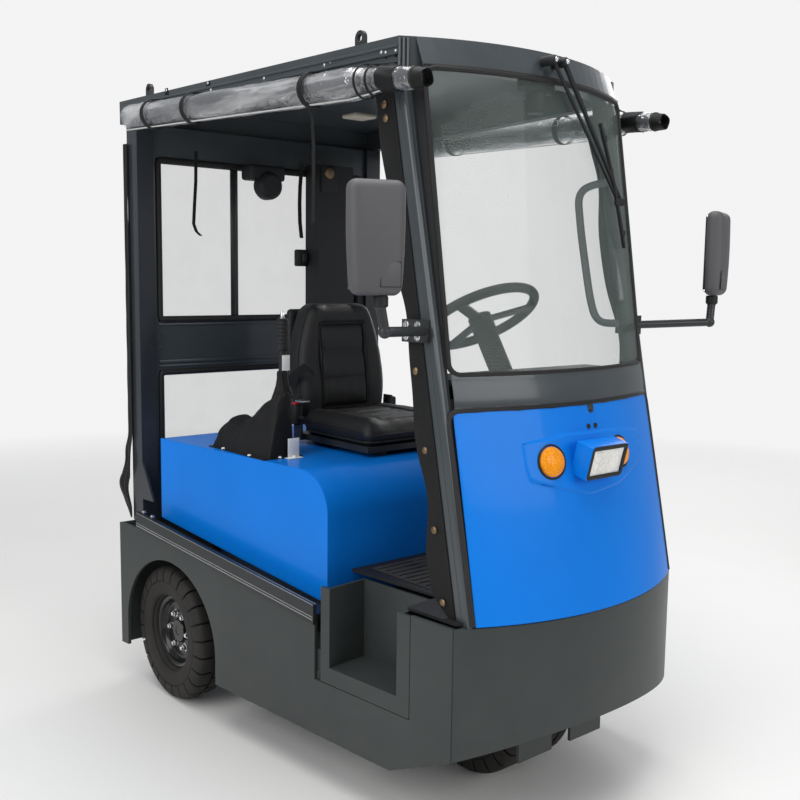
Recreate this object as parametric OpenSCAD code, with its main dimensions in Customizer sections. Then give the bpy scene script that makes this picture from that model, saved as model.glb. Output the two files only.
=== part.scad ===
/* [Chassis] */
// Width over the side plates at the rear axle
chassis_w = 1044; // [960:4:1120]
// Lean of each side plate towards the nose, in degrees
side_angle = 5.33; // [3:0.01:6]
// Rear axle to the rear plate
rear_reach = 242; // [230:1:300]
// Rear axle to the crown of the nose plate
nose_reach = 1318; // [1280:1:1400]
// Crown of the nose plate to the steered axle
front_overhang = 393; // [385:1:410]
// Thickness of the side plates
plate_t = 10; // [6:1:12]
// Thickness of the nose plate
nose_t = 14; // [10:1:20]
// Ground clearance under the side plates
side_clear = 130; // [110:1:150]
// Height of the side plates' top at the rear plate
side_top = 522; // [500:1:540]
// Height of the nose plate's top
nose_top = 536; // [500:1:560]
// Radius of the nose plate, seen from above
nose_r = 753; // [700:1:900]
// Height of the footwell floor
floor_h = 546; // [520:1:560]

/* [Wheels] */
// Outer radius of every tyre
tyre_r = 207.5; // [195:0.5:210]
// Radius of the rims under the tyre's bead
rim_r = 104; // [98:1:110]
// Width of a rear tyre
tyre_w = 108; // [90:1:115]
// Outer face of a rear tyre, from the middle
rear_track_half = 505; // [490:1:507]
// Width of one front tyre
front_tyre_w = 100; // [80:1:100]
// Gap between the twin front tyres
twin_gap = 24; // [16:1:40]

/* [Cab] */
// Height of the roof's front edge
roof_h = 1871; // [1800:1:1950]
// Fall of the roof towards the rear, in degrees
roof_fall = 0.5; // [0:0.1:1]
// Rear axle to the roof's rear edge
roof_rear = 276; // [240:1:300]
// Half the width of the cab at the rear axle
cab_half = 475; // [460:1:480]
// Depth of the roof's header
header_d = 70; // [50:1:80]
// Height of the blue front panel's upper edge
panel_top = 1017; // [1000:1:1030]
// Depth of the grey trim between the panel and the windscreen
belt_h = 86; // [70:1:110]
// Side of the square rear posts
post_w = 58; // [40:1:70]

/* [Hood] */
// Height of the hood over the ground
hood_top = 810; // [780:1:820]
// Rear axle to the hood's rear face
hood_rear = 92; // [80:1:100]
// Crown of the nose plate to the hood's front face
footwell_reach = 618; // [610:1:640]
// Half the width of the hood at the rear axle
hood_half = 462; // [440:1:466]
// Radius of the hood's front edge
hood_r = 110; // [60:1:130]

/* [Seat] */
// Width of the seat cushion
seat_w = 330; // [300:2:380]
// Depth of the seat cushion
seat_d = 324; // [300:2:328]
// Height of the seat back's top over the hood
back_top = 430; // [380:5:460]

/* [Mirrors] */
// Width of a mirror's shell
mirror_w = 124; // [110:2:140]
// Height of a mirror's shell
mirror_h = 234; // [200:2:260]
// Turn of each mirror towards the driver, in degrees
mirror_toe = 20; // [0:1:30]

/* [Controls] */
// Diameter of the steering wheel
wheel_d = 340; // [300:5:380]
// Lean of the steering column
column_lean = 32; // [20:1:40]
// Height of the steering wheel's middle
wheel_h = 1217; // [1180:1:1240]

/* [Hidden] */
$fn = 64;

taper = tan(side_angle);
wheelbase = nose_reach - front_overhang;
hood_front = nose_reach - footwell_reach;
tow_reach = rear_reach + 104;
// the part's own zero lies halfway between the nose and the tow jaw
shift_y = (nose_reach - tow_reach) / 2;
chassis_half = chassis_w / 2;
glass_low = panel_top + belt_h;
glass_high = roof_h - header_d;

// the place along Y of what stands this far behind the crown of the nose
function behind_nose(reach) = reach - nose_reach;
function half_at(base, y) = base + taper * y;
// a length along Y stretched to lie along a side plate
function along(y) = y / cos(side_angle);
function on_side(points) = [for (p = points) [along(p[0]), p[1]]];

// side plates, rails and steps
nose_corner_y = behind_nose(121);
nose_corner_x = half_at(chassis_half, nose_corner_y);
nose_low_side = 219;
nose_low_mid = 268;
rail_h = 52;
rail_rear_top = 574;
rail_front_top = 480;
rail_front_y = behind_nose(590);
step_rear_y = behind_nose(572);
step_front_y = behind_nose(252);
step_low = 280;
well_rear_y = step_rear_y - 39;
well_front_y = step_front_y + 40;
well_floor = 326;
well_depth = 122;
arch_r = 243;
arch_mid_y = -40;
arch_mid_z = 206;
notch_rear_y = step_rear_y + 22;
channel_depth = 26;
hood_gap = 8;
floor_rear_y = -hood_front - 4;

// frame under the floor: beams, the bay of the steered wheels and its deck
beam_out = 302;
beam_w = 40;
beam_low = 250;
bay_out = 278;
bay_wall = 14;
bay_low = 330;
bay_deck = 440;
bay_front_y = -wheelbase - 255;
bay_rear_y = bay_front_y + 570;
cross_y = bay_rear_y - 40;
guard_y = behind_nose(150);
guard_t = 8;

// cab
pillar_foot_y = nose_corner_y - 22;
pillar_foot_x = nose_corner_x - 30.3;
pillar_w = 20;
pillar_top_y = behind_nose(356);
skin_half = 353;
roof_mid_y = behind_nose(358);
function roof_at(y) = roof_h - (y - roof_mid_y) * tan(roof_fall);
post_rear_y = roof_rear - 26;
wall_half = cab_half - 46;
wall_y = post_rear_y - 38;
window_half = wall_half - 17;
upper_window = [1172, roof_h - 179];
lower_window = [640, 1012];

// rolled curtains: both ends of the roll, its narrow front tip and its straps
roll_rear = [-half_at(cab_half, 145) - 45, 145, roof_h - 78];
roll_front = [-half_at(cab_half, behind_nose(336)) - 59.6, behind_nose(336), roof_h - 108];
roll_tip = [-half_at(cab_half, behind_nose(179)) - 61.8, behind_nose(179), roof_h - 122];
roll_r = 40;
tip_r = 26;
strap_at = [0.122, 0.309, 0.749, 0.918, 0.985];
strap_w = 22;

// Front skin: height, crown ahead of the rear axle, radius seen from above
skin_low = [nose_top + 2, nose_reach - 1, nose_r];
skin_panel = [panel_top, nose_reach - 118, 892];
skin_glass = [glass_low, nose_reach - 136, 900];
skin_head = [glass_high, nose_reach - 228, 748];
skin_roof = [roof_h, nose_reach - 254, 735];

function crown_y(s, x) = -s[1] + s[2] - sqrt(s[2] * s[2] - x * x);
function crown_points(s, half, back, n = 20) =
  [for (i = [0 : n]) let (x = half * (2 * i / n - 1)) [x, crown_y(s, x) + back]];
// the same skin a little higher or lower
function raised(s, z) = [s[0] + z, s[1], s[2]];

// places its children in the part's frame
module placed() {
  translate([0, shift_y, 0]) children();
}

// repeats its children on both sides
module both_sides() {
  children();
  mirror([1, 0, 0]) children();
}

// a frame along the right side plate: y runs along the plate, x = 0 is its outer face
module along_side(base) {
  translate([-base, 0, 0]) rotate([0, 0, side_angle]) children();
}

// a plate of thickness t on the right side, drawn by its y and z
module side_sheet(t) {
  rotate([90, 0, 90]) linear_extrude(t) children();
}

// a slab between two heights of the front skin, thin or full
module skin_slab(low, high, half_low, half_high, back) {
  hull() {
    translate([0, 0, low[0]]) linear_extrude(0.1) polygon(crown_points(low, half_low, back));
    translate([0, 0, high[0] - 0.1]) linear_extrude(0.1)
      polygon(crown_points(high, half_high, back));
  }
}

module skin_shell(low, high, half_low, half_high, t, back = 0) {
  difference() {
    skin_slab(low, high, half_low, half_high, back);
    translate([0, 0, -1]) skin_slab(low, high, half_low, half_high, back + t);
    translate([0, 0, 1]) skin_slab(low, high, half_low, half_high, back + t);
    skin_slab(low, high, half_low, half_high, back + t);
  }
}

// a round tube between two points
module tube(from, to, r) {
  d = to - from;
  l = norm(d);
  translate(from) rotate([0, acos(d[2] / l), atan2(d[1], d[0])]) cylinder(r = r, h = l);
}

// a rectangle about the middle with round corners
module round_rect(w, h, r) {
  square([w - 2 * r, h], center = true);
  square([w, h - 2 * r], center = true);
  for (x = [-1, 1], y = [-1, 1]) translate([x * (w / 2 - r), y * (h / 2 - r)]) circle(r = r);
}

// a cushion of width w, depth d and height h, rounded by plan_r from above and edge_r from the sides
module pillow(w, d, h, plan_r, edge_r) {
  intersection() {
    linear_extrude(h) round_rect(w, d, plan_r);
    rotate([90, 0, 90]) linear_extrude(w + 2, center = true)
      translate([0, h / 2]) round_rect(d, h, edge_r);
    rotate([90, 0, 0]) linear_extrude(d + 2, center = true)
      translate([0, h / 2]) round_rect(w, h, edge_r);
  }
}

module side_outline() {
  difference() {
    polygon(on_side([[rear_reach, side_clear - 10], [-280, side_clear], [-1000, side_clear],
      [nose_corner_y, nose_low_side], [nose_corner_y, nose_top], [step_front_y, nose_top],
      [step_front_y, step_low], [notch_rear_y, step_low], [notch_rear_y, 442],
      [130, 531], [130, side_top], [rear_reach, side_top]]));
    translate([arch_mid_y, arch_mid_z]) circle(r = arch_r, $fn = 96);
    translate([arch_mid_y - arch_r, 0]) square([2 * arch_r, arch_mid_z]);
  }
}

module side_plates() {
  color("#41474b") placed() both_sides()
    along_side(chassis_half) side_sheet(plate_t) side_outline();
}

// the cutter that gives the nose plate its arched lower edge
module nose_cut() {
  rise = nose_low_mid - nose_low_side;
  cut_r = (nose_corner_x * nose_corner_x + rise * rise) / (2 * rise);
  translate([0, -nose_reach - 10, nose_low_mid - cut_r]) rotate([-90, 0, 0])
    cylinder(r = cut_r, h = 400, $fn = 256);
}

module nose_plate() {
  color("#41474b") placed() difference() {
    linear_extrude(nose_top) difference() {
      intersection() {
        translate([0, nose_r - nose_reach]) circle(r = nose_r, $fn = 192);
        translate([-nose_corner_x, -nose_reach]) square([2 * nose_corner_x, 150]);
      }
      translate([0, nose_r - nose_reach]) circle(r = nose_r - nose_t, $fn = 192);
      translate([-nose_corner_x, nose_corner_y - 0.3]) square([2 * nose_corner_x, 200]);
    }
    nose_cut();
  }
}

// cross members, rear plate, wheel bay walls and the plate that carries the turntable
module belly_frame() {
  rear_y = rear_reach - plate_t;
  rear_half = half_at(chassis_half, rear_y) - plate_t - 0.6;
  color("#33383b") placed() union() {
    translate([-rear_half, rear_y, side_clear - 10])
      cube([2 * rear_half, plate_t, side_top - side_clear + 10]);
    both_sides() translate([-beam_out, cross_y, beam_low]) cube([beam_w, rear_y - cross_y, 90]);
    for (y = [cross_y, -340]) translate([-beam_out, y, beam_low]) cube([2 * beam_out, beam_w, 60]);
    both_sides() translate([-bay_out, bay_front_y, bay_low])
      cube([bay_wall, bay_rear_y - bay_front_y, bay_deck - bay_low]);
    difference() {
      translate([-bay_out, bay_front_y, bay_deck])
        cube([2 * bay_out, bay_rear_y - bay_front_y, bay_wall]);
      translate([0, -wheelbase, bay_deck - 10]) cylinder(r = 90, h = 40);
    }
    for (y = [bay_front_y + 30, cross_y]) {
      translate([-bay_out, y, bay_deck + bay_wall]) cube([2 * bay_out, beam_w, 72]);
      both_sides() linear_extrude_at(bay_deck - 70, 58) polygon([
        [-half_at(chassis_half, y) + plate_t + 0.4, y],
        [-half_at(chassis_half, y + beam_w) + plate_t + 0.4, y + beam_w],
        [-bay_out + 1, y + beam_w], [-bay_out + 1, y]]);
    }
    both_sides() translate([-beam_out, cross_y, bay_low]) cube([beam_w, beam_w, bay_deck - bay_low]);
    both_sides() translate([-beam_out + 5, hood_rear - 12, beam_low + 80])
      cube([30, 26, rail_rear_top - channel_depth + hood_gap - 1 - beam_low - 80]);
    both_sides() translate([-158, guard_y - guard_t, 132]) cube([122, guard_t, 290]);
    translate([-158, guard_y - guard_t, 300]) cube([316, guard_t, 145]);
  }
}

module linear_extrude_at(z, h) {
  translate([0, 0, z]) linear_extrude(h) children();
}

module sill_rails() {
  color("#3a4044") placed() both_sides() along_side(chassis_half + 8 / cos(side_angle)) difference() {
    side_sheet(64) polygon(on_side([[128, rail_rear_top + 4 - rail_h],
      [rail_front_y, rail_front_top - rail_h], [rail_front_y, rail_front_top],
      [128, rail_rear_top + 4]]));
    translate([7.7, 0, 0]) side_sheet(100) polygon(on_side([[200, 400], [-800, 400],
      [-800, 435], [step_rear_y, 440.3], [130, 531.3], [200, 531.3]]));
    translate([10, 0, 0]) side_sheet(100) polygon(on_side([[200, rail_rear_top - channel_depth],
      [128, rail_rear_top - channel_depth], [rail_front_y, rail_front_top - channel_depth],
      [-800, rail_front_top - channel_depth], [-800, 700], [200, 700]]));
  }
}

module step_wells() {
  color("#3a4044") placed() both_sides() along_side(chassis_half) {
    difference() {
      translate([0, along(step_front_y) + 2, step_low + 2])
        cube([well_depth + 8, along(step_rear_y) - along(step_front_y) - 4, floor_h - step_low - 14]);
      translate([-1, well_front_y, well_floor])
        cube([well_depth + 1, well_rear_y - well_front_y, 400]);
      translate([8, along(step_rear_y) - 26, 0]) cube([400, 40, 800]);
      translate([8, along(step_front_y) - 10, 0]) cube([400, 40, 800]);
    }
    translate([plate_t + 0.3, along(step_rear_y) - 30, step_low + 20]) cube([6, 80, 60]);
  }
}

module footwell_floor() {
  color("#2b2e30") placed() difference() {
    linear_extrude(floor_h) difference() {
      intersection() {
        translate([0, nose_r - nose_reach]) circle(r = nose_r - nose_t - 1, $fn = 192);
        polygon([[-half_at(chassis_half, floor_rear_y) + 30, floor_rear_y],
          [-nose_corner_x + 30, -1400], [nose_corner_x - 30, -1400],
          [half_at(chassis_half, floor_rear_y) - 30, floor_rear_y]]);
      }
      both_sides() translate([-pillar_foot_x - 0.4, pillar_foot_y - 0.3])
        square([pillar_w + 0.8, 63]);
      both_sides() translate([-chassis_half, 0]) rotate(side_angle)
        translate([0, well_front_y - 14]) square([well_depth + 16, 400]);
    }
    translate([0, 0, -1]) linear_extrude(floor_h - 7) square(4000, center = true);
  }
}

module battery() {
  color("#2f4f7a") placed() translate([-290, bay_rear_y + 10, beam_low + 90.3])
    cube([580, 30 - bay_rear_y, 420]);
}

module rear_axle() {
  color("#23272a") placed() {
    tube_half = rear_track_half - tyre_w - 12;
    rotate([0, 90, 0]) translate([-tyre_r, 0, -tube_half]) cylinder(r = 42, h = 2 * tube_half);
    both_sides() translate([-tube_half + 1, 0, tyre_r]) rotate([0, -90, 0])
      cylinder(r = 34, h = 82);
    translate([0, 0, tyre_r]) rotate([0, 90, 0]) cylinder(r = 105, h = 150, center = true);
    translate([40, -30, tyre_r]) rotate([90, 0, 0]) cylinder(r = 85, h = 240);
    both_sides() translate([-beam_out + 5, -35, tyre_r - 10]) cube([30, 70, 52.2]);
  }
}

// the rim is narrower than its tyre on both sides by this much
bead_in = 25;

// one tyre, its inner face at x = 0 and its outer face at x = -w
module tyre(w) {
  color("#26231f") rotate([0, -90, 0]) rotate_extrude()
    polygon([[rim_r + 1, bead_in + 5], [rim_r + 10, bead_in + 5], [rim_r + 32, 2],
      [tyre_r - 18, 4], [tyre_r, 18], [tyre_r, w - 18], [tyre_r - 18, w - 4],
      [rim_r + 32, w - 2], [rim_r + 10, w - bead_in - 5], [rim_r + 1, w - bead_in - 5]]);
}

// a dished rim for a tyre of width w, with its wheel nuts
module rim(w, dish, bore) {
  lip = 4.7;
  front = bead_in;
  rear = w - bead_in;
  color("#17181a") rotate([0, -90, 0]) rotate_extrude() polygon([[bore, w - dish - 12],
    [rim_r - 14, w - dish - 12], [rim_r - 14, front + 3], [rim_r + 8, front],
    [rim_r + 8, front + lip], [rim_r + 0.7, front + lip], [rim_r + 0.7, rear - lip],
    [rim_r + 8, rear - lip], [rim_r + 8, rear], [rim_r - 14, rear - 3],
    [rim_r - 14, w - dish], [bore, w - dish]]);
  color("#c9ccce") for (i = [0 : 5]) rotate([i * 60, 0, 0])
    translate([dish - w + 0.5, 0, 57]) rotate([0, -90, 0]) cylinder(r = 10, h = 12, $fn = 6);
}

module rear_wheel_place(side) {
  placed() mirror([side, 0, 0]) translate([-rear_track_half + tyre_w, 0, tyre_r]) children();
}

module tyre_rear_right() rear_wheel_place(0) tyre(tyre_w);
module tyre_rear_left() rear_wheel_place(1) tyre(tyre_w);
module rim_rear_right() rear_wheel_place(0) rim(tyre_w, 48, 34.05);
module rim_rear_left() rear_wheel_place(1) rim(tyre_w, 48, 34.05);

module tyres_front() {
  placed() both_sides() translate([-twin_gap / 2, -wheelbase, tyre_r])
    tyre(front_tyre_w);
}

module rim_front() {
  color("#17181a") placed() translate([0, -wheelbase, tyre_r]) rotate([0, 90, 0]) difference() {
    rotate_extrude() twin_section(front_tyre_w + twin_gap / 2);
    cylinder(r = 20.05, h = 300, center = true);
  }
}

// half section of the twin rim: a hub with a web under each tyre
module twin_section(half) {
  translate([19, -half + 6]) square([26, 2 * half - 12]);
  translate([40, -half + 40]) square([rim_r - 44, 14]);
  translate([40, half - 54]) square([rim_r - 44, 14]);
  translate([rim_r - 10, -half + bead_in]) square([10, 2 * (half - bead_in)]);
}

module steer_fork() {
  arm_in = front_tyre_w + twin_gap / 2 + 8;
  color("#2c3134") placed() translate([0, -wheelbase, 0]) union() {
    both_sides() translate([-arm_in - 14, -45, tyre_r - 50]) cube([14, 90, 422 - tyre_r + 50]);
    translate([-arm_in - 14, -60, 421]) cube([2 * arm_in + 28, 120, 12]);
    translate([0, 0, 432]) cylinder(r = 89, h = 23);
    translate([0, 0, 454.3]) cylinder(r = 118, h = 8);
    translate([-arm_in - 1, 0, tyre_r]) rotate([0, 90, 0]) cylinder(r = 20, h = 2 * arm_in + 2);
    translate([-arm_in - 22, 0, tyre_r]) rotate([0, 90, 0])
      cylinder(r = 24, h = 9, $fn = 6);
    translate([arm_in + 13, 0, tyre_r]) rotate([0, 90, 0])
      cylinder(r = 24, h = 9, $fn = 6);
  }
}

// hood outline seen from the side, grown inwards by d
module hood_side(d) {
  hull() {
    translate([hood_rear - 20 - d, hood_top - 20 - d]) square(20);
    translate([hood_rear - 1 - d, 300]) square(1);
    translate([-hood_front + d, 300]) square(1);
    translate([-hood_front + hood_r, hood_top - hood_r]) intersection() {
      circle(r = hood_r - d, $fn = 96);
      translate([-hood_r, 0]) square([hood_r, hood_r]);
    }
  }
}

module hood_solid(d) {
  intersection() {
    rotate([90, 0, 90]) translate([0, 0, -600]) linear_extrude(1200) hood_side(d);
    translate([0, 0, 200]) linear_extrude(900) polygon([
      [-half_at(hood_half, -1000) + d, -1000], [half_at(hood_half, -1000) - d, -1000],
      [half_at(hood_half, 400) - d, 400], [-half_at(hood_half, 400) + d, 400]]);
  }
}

module hood() {
  color("#1b78d8") placed() difference() {
    hood_solid(0);
    hood_solid(4);
    rotate([90, 0, 90]) translate([0, 0, -700]) linear_extrude(1400) polygon([[300, 0],
      [-900, 0], [-900, rail_front_top - 20],
      [-hood_front, rail_front_top + hood_gap - channel_depth],
      [hood_rear, rail_rear_top + hood_gap - channel_depth], [300, rail_rear_top]]);
  }
}

seat_front_y = -hood_front + 122;
seat_back_low = 50;
seat_back_t = 74;

// the leaning frame of the seat back, its zero at the middle of the back's foot
module seat_back_frame() {
  translate([0, seat_front_y + 367, seat_back_low]) rotate([-5, 0, 0]) children();
}

// seat pan on its slides, the frame that carries the back, and the two belt stalks
module seat_base() {
  color("#1d1f21") placed() translate([0, 0, hood_top]) {
    for (x = [-110, 80]) translate([x, seat_front_y + 20, 0.3]) cube([30, 330, 14]);
    translate([-seat_w / 2, seat_front_y + 3, 14]) cube([seat_w, 360, 18]);
    translate([-90, seat_front_y + 340, 14]) cube([180, 72, 18]);
    seat_back_frame() translate([-84, seat_back_t / 2 + 0.4, -30]) cube([168, 5, 230]);
    for (x = [-seat_w / 2 - 16, seat_w / 2 + 10]) translate([x, seat_front_y + 313, 14])
      cube([6, 40, 116]);
    for (x = [-seat_w / 2 - 16, seat_w / 2 - 20]) translate([x, seat_front_y + 313, 14])
      cube([36, 40, 8]);
  }
}

module seat_cushion() {
  color("#161719") placed() translate([0, seat_front_y + seat_d / 2, hood_top + 32.3])
    pillow(seat_w, seat_d, 66, 50, 26);
}

// seat back, wide at the foot and narrow at the top
module seat_back() {
  tall = back_top - seat_back_low;
  color("#161719") placed() translate([0, 0, hood_top]) seat_back_frame()
    intersection() {
      rotate([90, 0, 0]) linear_extrude(seat_back_t, center = true) hull() both_sides() {
        translate([-seat_w / 2 + 42, 40]) circle(r = 40);
        translate([-seat_w / 2 + 44, tall * 0.42]) circle(r = 40);
        translate([-seat_w / 2 + 98, tall - 46]) circle(r = 46);
      }
      rotate([90, 0, 90]) linear_extrude(seat_w, center = true) translate([0, tall / 2])
        round_rect(seat_back_t, tall, 34);
    }
}

lever_at = [-325, -hood_front + 320];
lever_h = 330;

module brake_lever() {
  color("#1b1c1e") placed() translate([lever_at[0], lever_at[1], hood_top]) {
    translate([0, 0, 0.3]) cylinder(r = 12, h = lever_h);
    translate([0, 0, lever_h]) cylinder(r = 17, h = 64);
  }
}

// soft cover round the lever's foot: a tall front part and a low rear part
module brake_boot() {
  color("#141416") placed() translate([lever_at[0], lever_at[1], hood_top]) difference() {
    union() {
      hull() {
        translate([-90, -70, 0.3]) cube([125, 200, 4]);
        translate([-30, -42, 198]) cube([58, 84, 4]);
      }
      hull() {
        translate([-90, 60, 0.3]) cube([122, 184, 4]);
        translate([-66, 80, 80]) cube([80, 150, 4]);
      }
    }
    translate([0, 0, -10]) cylinder(r = 12.4, h = 400);
  }
}

panel_lean = atan2(skin_low[1] - skin_panel[1], skin_panel[0] - skin_low[0]);

lamp_z = panel_top - 128;

// the headlamp's own frame: its lens faces -Y and a little down
module lamp_frame() {
  translate([0, behind_nose(27.6), lamp_z]) rotate([panel_lean, 0, 0]) children();
}

// the frame of the right indicator: Z points out of the panel
module indicator_frame() {
  translate([-127, behind_nose(96), lamp_z + 3]) rotate([0, 0, -8])
    rotate([90 - panel_lean, 0, 0]) children();
}

module front_panel() {
  color("#1b78d8") placed() {
    difference() {
      skin_shell(skin_low, skin_panel, 360, 352, 6);
      both_sides() indicator_frame() cylinder(r = 43.3, h = 200, center = true);
    }
    difference() {
      union() {
        lamp_frame() translate([-68, 0, -42]) cube([136, 24, 84]);
        translate([-60, behind_nose(34), lamp_z - 48]) cube([120, 58, 84]);
      }
      lamp_frame() translate([-58, -30, -35]) cube([116, 46, 70]);
      skin_slab(skin_low, skin_panel, 360, 352, 3);
    }
  }
}

module headlamp() {
  color("#e8eef2") placed() lamp_frame() translate([-57.7, 3, -34.7]) cube([115.4, 12.7, 69.4]);
}

module front_indicators() {
  color("#f08a1d") placed() both_sides() indicator_frame() translate([0, 0, -14])
    cylinder(r = 43, h = 22);
}

module belt_trim() {
  color("#3f4447") placed() skin_shell([panel_top + 0.3, nose_reach - 115, 892],
    [glass_low - 0.3, nose_reach - 132, 896], skin_half, skin_half, 26);
}

module a_pillars() {
  color("#3f464b") placed() both_sides() {
    hull() {
      translate([-pillar_foot_x, pillar_foot_y, nose_top + 0.3]) cube([pillar_w, 58, 1]);
      translate([-half_at(cab_half, pillar_top_y), pillar_top_y, glass_high - 1.8])
        cube([pillar_w + 10, 50, 1]);
    }
  }
}

module rear_posts() {
  color("#3f464b") placed() both_sides() along_side(cab_half - 6) {
    translate([0, post_rear_y - post_w, side_top + 0.3])
      cube([post_w, post_w, roof_at(post_rear_y) - header_d - side_top - 0.6]);
    side_sheet(8) polygon([[post_rear_y - post_w, 600], [post_rear_y - post_w, 720], [130, 600]]);
  }
}

module roof_outline(d) {
  intersection() {
    union() {
      translate([0, skin_roof[2] - skin_roof[1]]) circle(r = skin_roof[2] - d, $fn = 192);
      translate([-600, -600]) square([1200, 1000]);
    }
    polygon([[-half_at(cab_half, -nose_reach) + d, -nose_reach],
      [half_at(cab_half, -nose_reach) - d, -nose_reach],
      [half_at(cab_half, roof_rear) - d, roof_rear - d],
      [-half_at(cab_half, roof_rear) + d, roof_rear - d]]);
  }
}

// roof tray with its side rails and the leaning header over the windscreen
module roof() {
  color("#3f464b") placed() {
    translate([0, roof_mid_y, roof_h - header_d]) rotate([-roof_fall, 0, 0])
      translate([0, -roof_mid_y, 0]) difference() {
        linear_extrude(header_d) roof_outline(0);
        translate([0, 0, -1]) linear_extrude(header_d - 5) roof_outline(40);
      }
    skin_shell(raised(skin_head, 0.6), skin_roof, skin_half, skin_half, 34);
  }
}

module windscreen() {
  color([0.6, 0.7, 0.72, 0.35]) placed()
    skin_shell(skin_glass, skin_head, skin_half + 1, skin_half - 1, 6);
}

module rear_wall() {
  color("#3f464b") placed() difference() {
    translate([-wall_half, wall_y, side_top + 0.3])
      cube([2 * wall_half, 24, roof_at(wall_y + 24) - header_d - side_top - 0.6]);
    for (w = [upper_window, lower_window]) translate([-window_half, wall_y - 12, w[0]])
      cube([2 * window_half, 50, w[1] - w[0]]);
  }
}

module rear_glass() {
  color([0.5, 0.6, 0.6, 0.4]) placed() for (w = [upper_window, lower_window])
    translate([-window_half + 0.3, wall_y + 9, w[0] + 0.3])
      cube([2 * window_half - 0.6, 5, w[1] - w[0] - 0.6]);
}

module equipment_column() {
  color("#191b1d") placed() translate([165, wall_y - 82, 1012]) cube([150, 81.7, roof_h - 1171]);
}

dash_half = 320;

module dash_outline(half, back) {
  polygon([[-half, behind_nose(232)], [-230, behind_nose(190)], [230, behind_nose(190)],
    [half, behind_nose(232)], [half, back], [-half, back]]);
}

module dashboard() {
  color("#1c1f21") placed() difference() {
    hull() {
      translate([0, 0, glass_low - 28]) linear_extrude(10) dash_outline(dash_half, behind_nose(368));
      translate([0, 0, glass_low - 323]) linear_extrude(10)
        dash_outline(dash_half - 16, behind_nose(258));
    }
    column_frame() translate([0, 0, -500]) cylinder(r = column_r + 0.3, h = 480);
  }
  color("#1c1f21") placed() both_sides()
    translate([-pillar_foot_x + 22.3, behind_nose(234), glass_low - 62]) cube([60, 20, 30]);
}

column_r = 30;

module column_frame() {
  translate([0, behind_nose(473), wheel_h]) rotate([-column_lean, 0, 0]) children();
}

module steering_column() {
  color("#1c1f21") placed() column_frame() {
    translate([0, 0, -480]) cylinder(r = column_r, h = 434);
    translate([0, 0, -50]) cylinder(r = 9, h = 30);
  }
}

module steering_wheel() {
  color("#141517") placed() column_frame() {
    rotate_extrude() translate([wheel_d / 2 - 13, 0]) circle(r = 13, $fn = 24);
    difference() {
      translate([0, 0, -44]) cylinder(r = 32, h = 46);
      translate([0, 0, -50]) cylinder(r = 9.4, h = 31);
    }
    for (a = [90, 210, 330]) rotate([0, 0, a]) translate([0, -14, -14])
      cube([wheel_d / 2 - 16, 28, 8]);
  }
}

mirror_mid = [-618, behind_nose(153), 1400];
arm_r = 11;
arm_elbow = [-594, behind_nose(150), 1208];
arm_top = [-604, behind_nose(153), mirror_mid[2] - mirror_h / 2 - 21];

module mirror_arms() {
  color("#303538") placed() both_sides() {
    tube([-392, behind_nose(256), 1200], arm_elbow, arm_r);
    translate(arm_elbow) sphere(r = arm_r + 3, $fn = 32);
    tube(arm_elbow, arm_top, arm_r);
    translate(arm_top) cylinder(r = arm_r, h = 20.7);
    translate(arm_top) sphere(r = arm_r + 2, $fn = 32);
    translate([-407, behind_nose(246), 1174]) cube([23.9, 70, 52]);
  }
}

module mirror_frame() {
  translate(mirror_mid) rotate([0, 0, -mirror_toe]) children();
}

module mirror_shells() {
  shell_d = 46;
  color("#5d5c60") placed() both_sides() mirror_frame() difference() {
    translate([0, 0, -mirror_h / 2]) pillow(mirror_w, shell_d, mirror_h, 20, 22);
    translate([-mirror_w / 2 + 10, shell_d / 2 - 6, -mirror_h / 2 + 12])
      cube([mirror_w - 20, 20, mirror_h - 24]);
  }
}

module mirror_glasses() {
  color("#b9c4c9") placed() both_sides() mirror_frame()
    translate([-mirror_w / 2 + 10.3, 17.3, -mirror_h / 2 + 12.3])
      cube([mirror_w - 20.6, 3, mirror_h - 24.6]);
}

// two motors on the header, their arms and the blade on the left half of the windscreen
module wipers() {
  pivot_z = roof_h - 28;
  arm_y = behind_nose(206);
  color("#141517") placed() {
    for (x = [-38, 2]) translate([x, behind_nose(238), pivot_z]) rotate([90, 0, 0])
      cylinder(r = 12, h = 36);
    tube([-38, arm_y, pivot_z], [232, arm_y, pivot_z - 318], 5);
    tube([2, arm_y, pivot_z], [246, arm_y, pivot_z - 318], 5);
    tube([159, behind_nose(218), pivot_z - 126], [268, behind_nose(209), pivot_z - 436], 8);
  }
}

module curtain_rolls() {
  color([0.75, 0.78, 0.8, 0.8]) placed() both_sides() {
    tube(roll_rear, roll_front, roll_r);
    tube(roll_front, roll_tip, tip_r);
  }
}

// rings round the rolls, each hung from a strip on the roof's edge, and the loose strips at
// the rear posts
module curtain_straps() {
  way = roll_front - roll_rear;
  unit = way / norm(way);
  color("#101113") placed() both_sides() {
    for (k = strap_at) {
      mid = roll_rear + k * way;
      edge = -half_at(cab_half, mid[1] + 12) - 0.3;
      difference() {
        union() {
          tube(mid - strap_w / 2 * unit, mid + strap_w / 2 * unit, roll_r + 4);
          translate([mid[0], mid[1] - strap_w / 2, mid[2] + 2]) cube([edge - mid[0], strap_w, 8]);
          translate([edge - 3, mid[1] - strap_w / 2, mid[2] + 2])
            cube([3, strap_w, roof_at(mid[1]) - 24 - mid[2]]);
        }
        tube(mid - strap_w * unit, mid + strap_w * unit, roll_r + 0.3);
      }
    }
    along_side(cab_half) translate([0, post_rear_y - 45, 600]) cube([5.7, 40, roof_h - 741]);
  }
}

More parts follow.
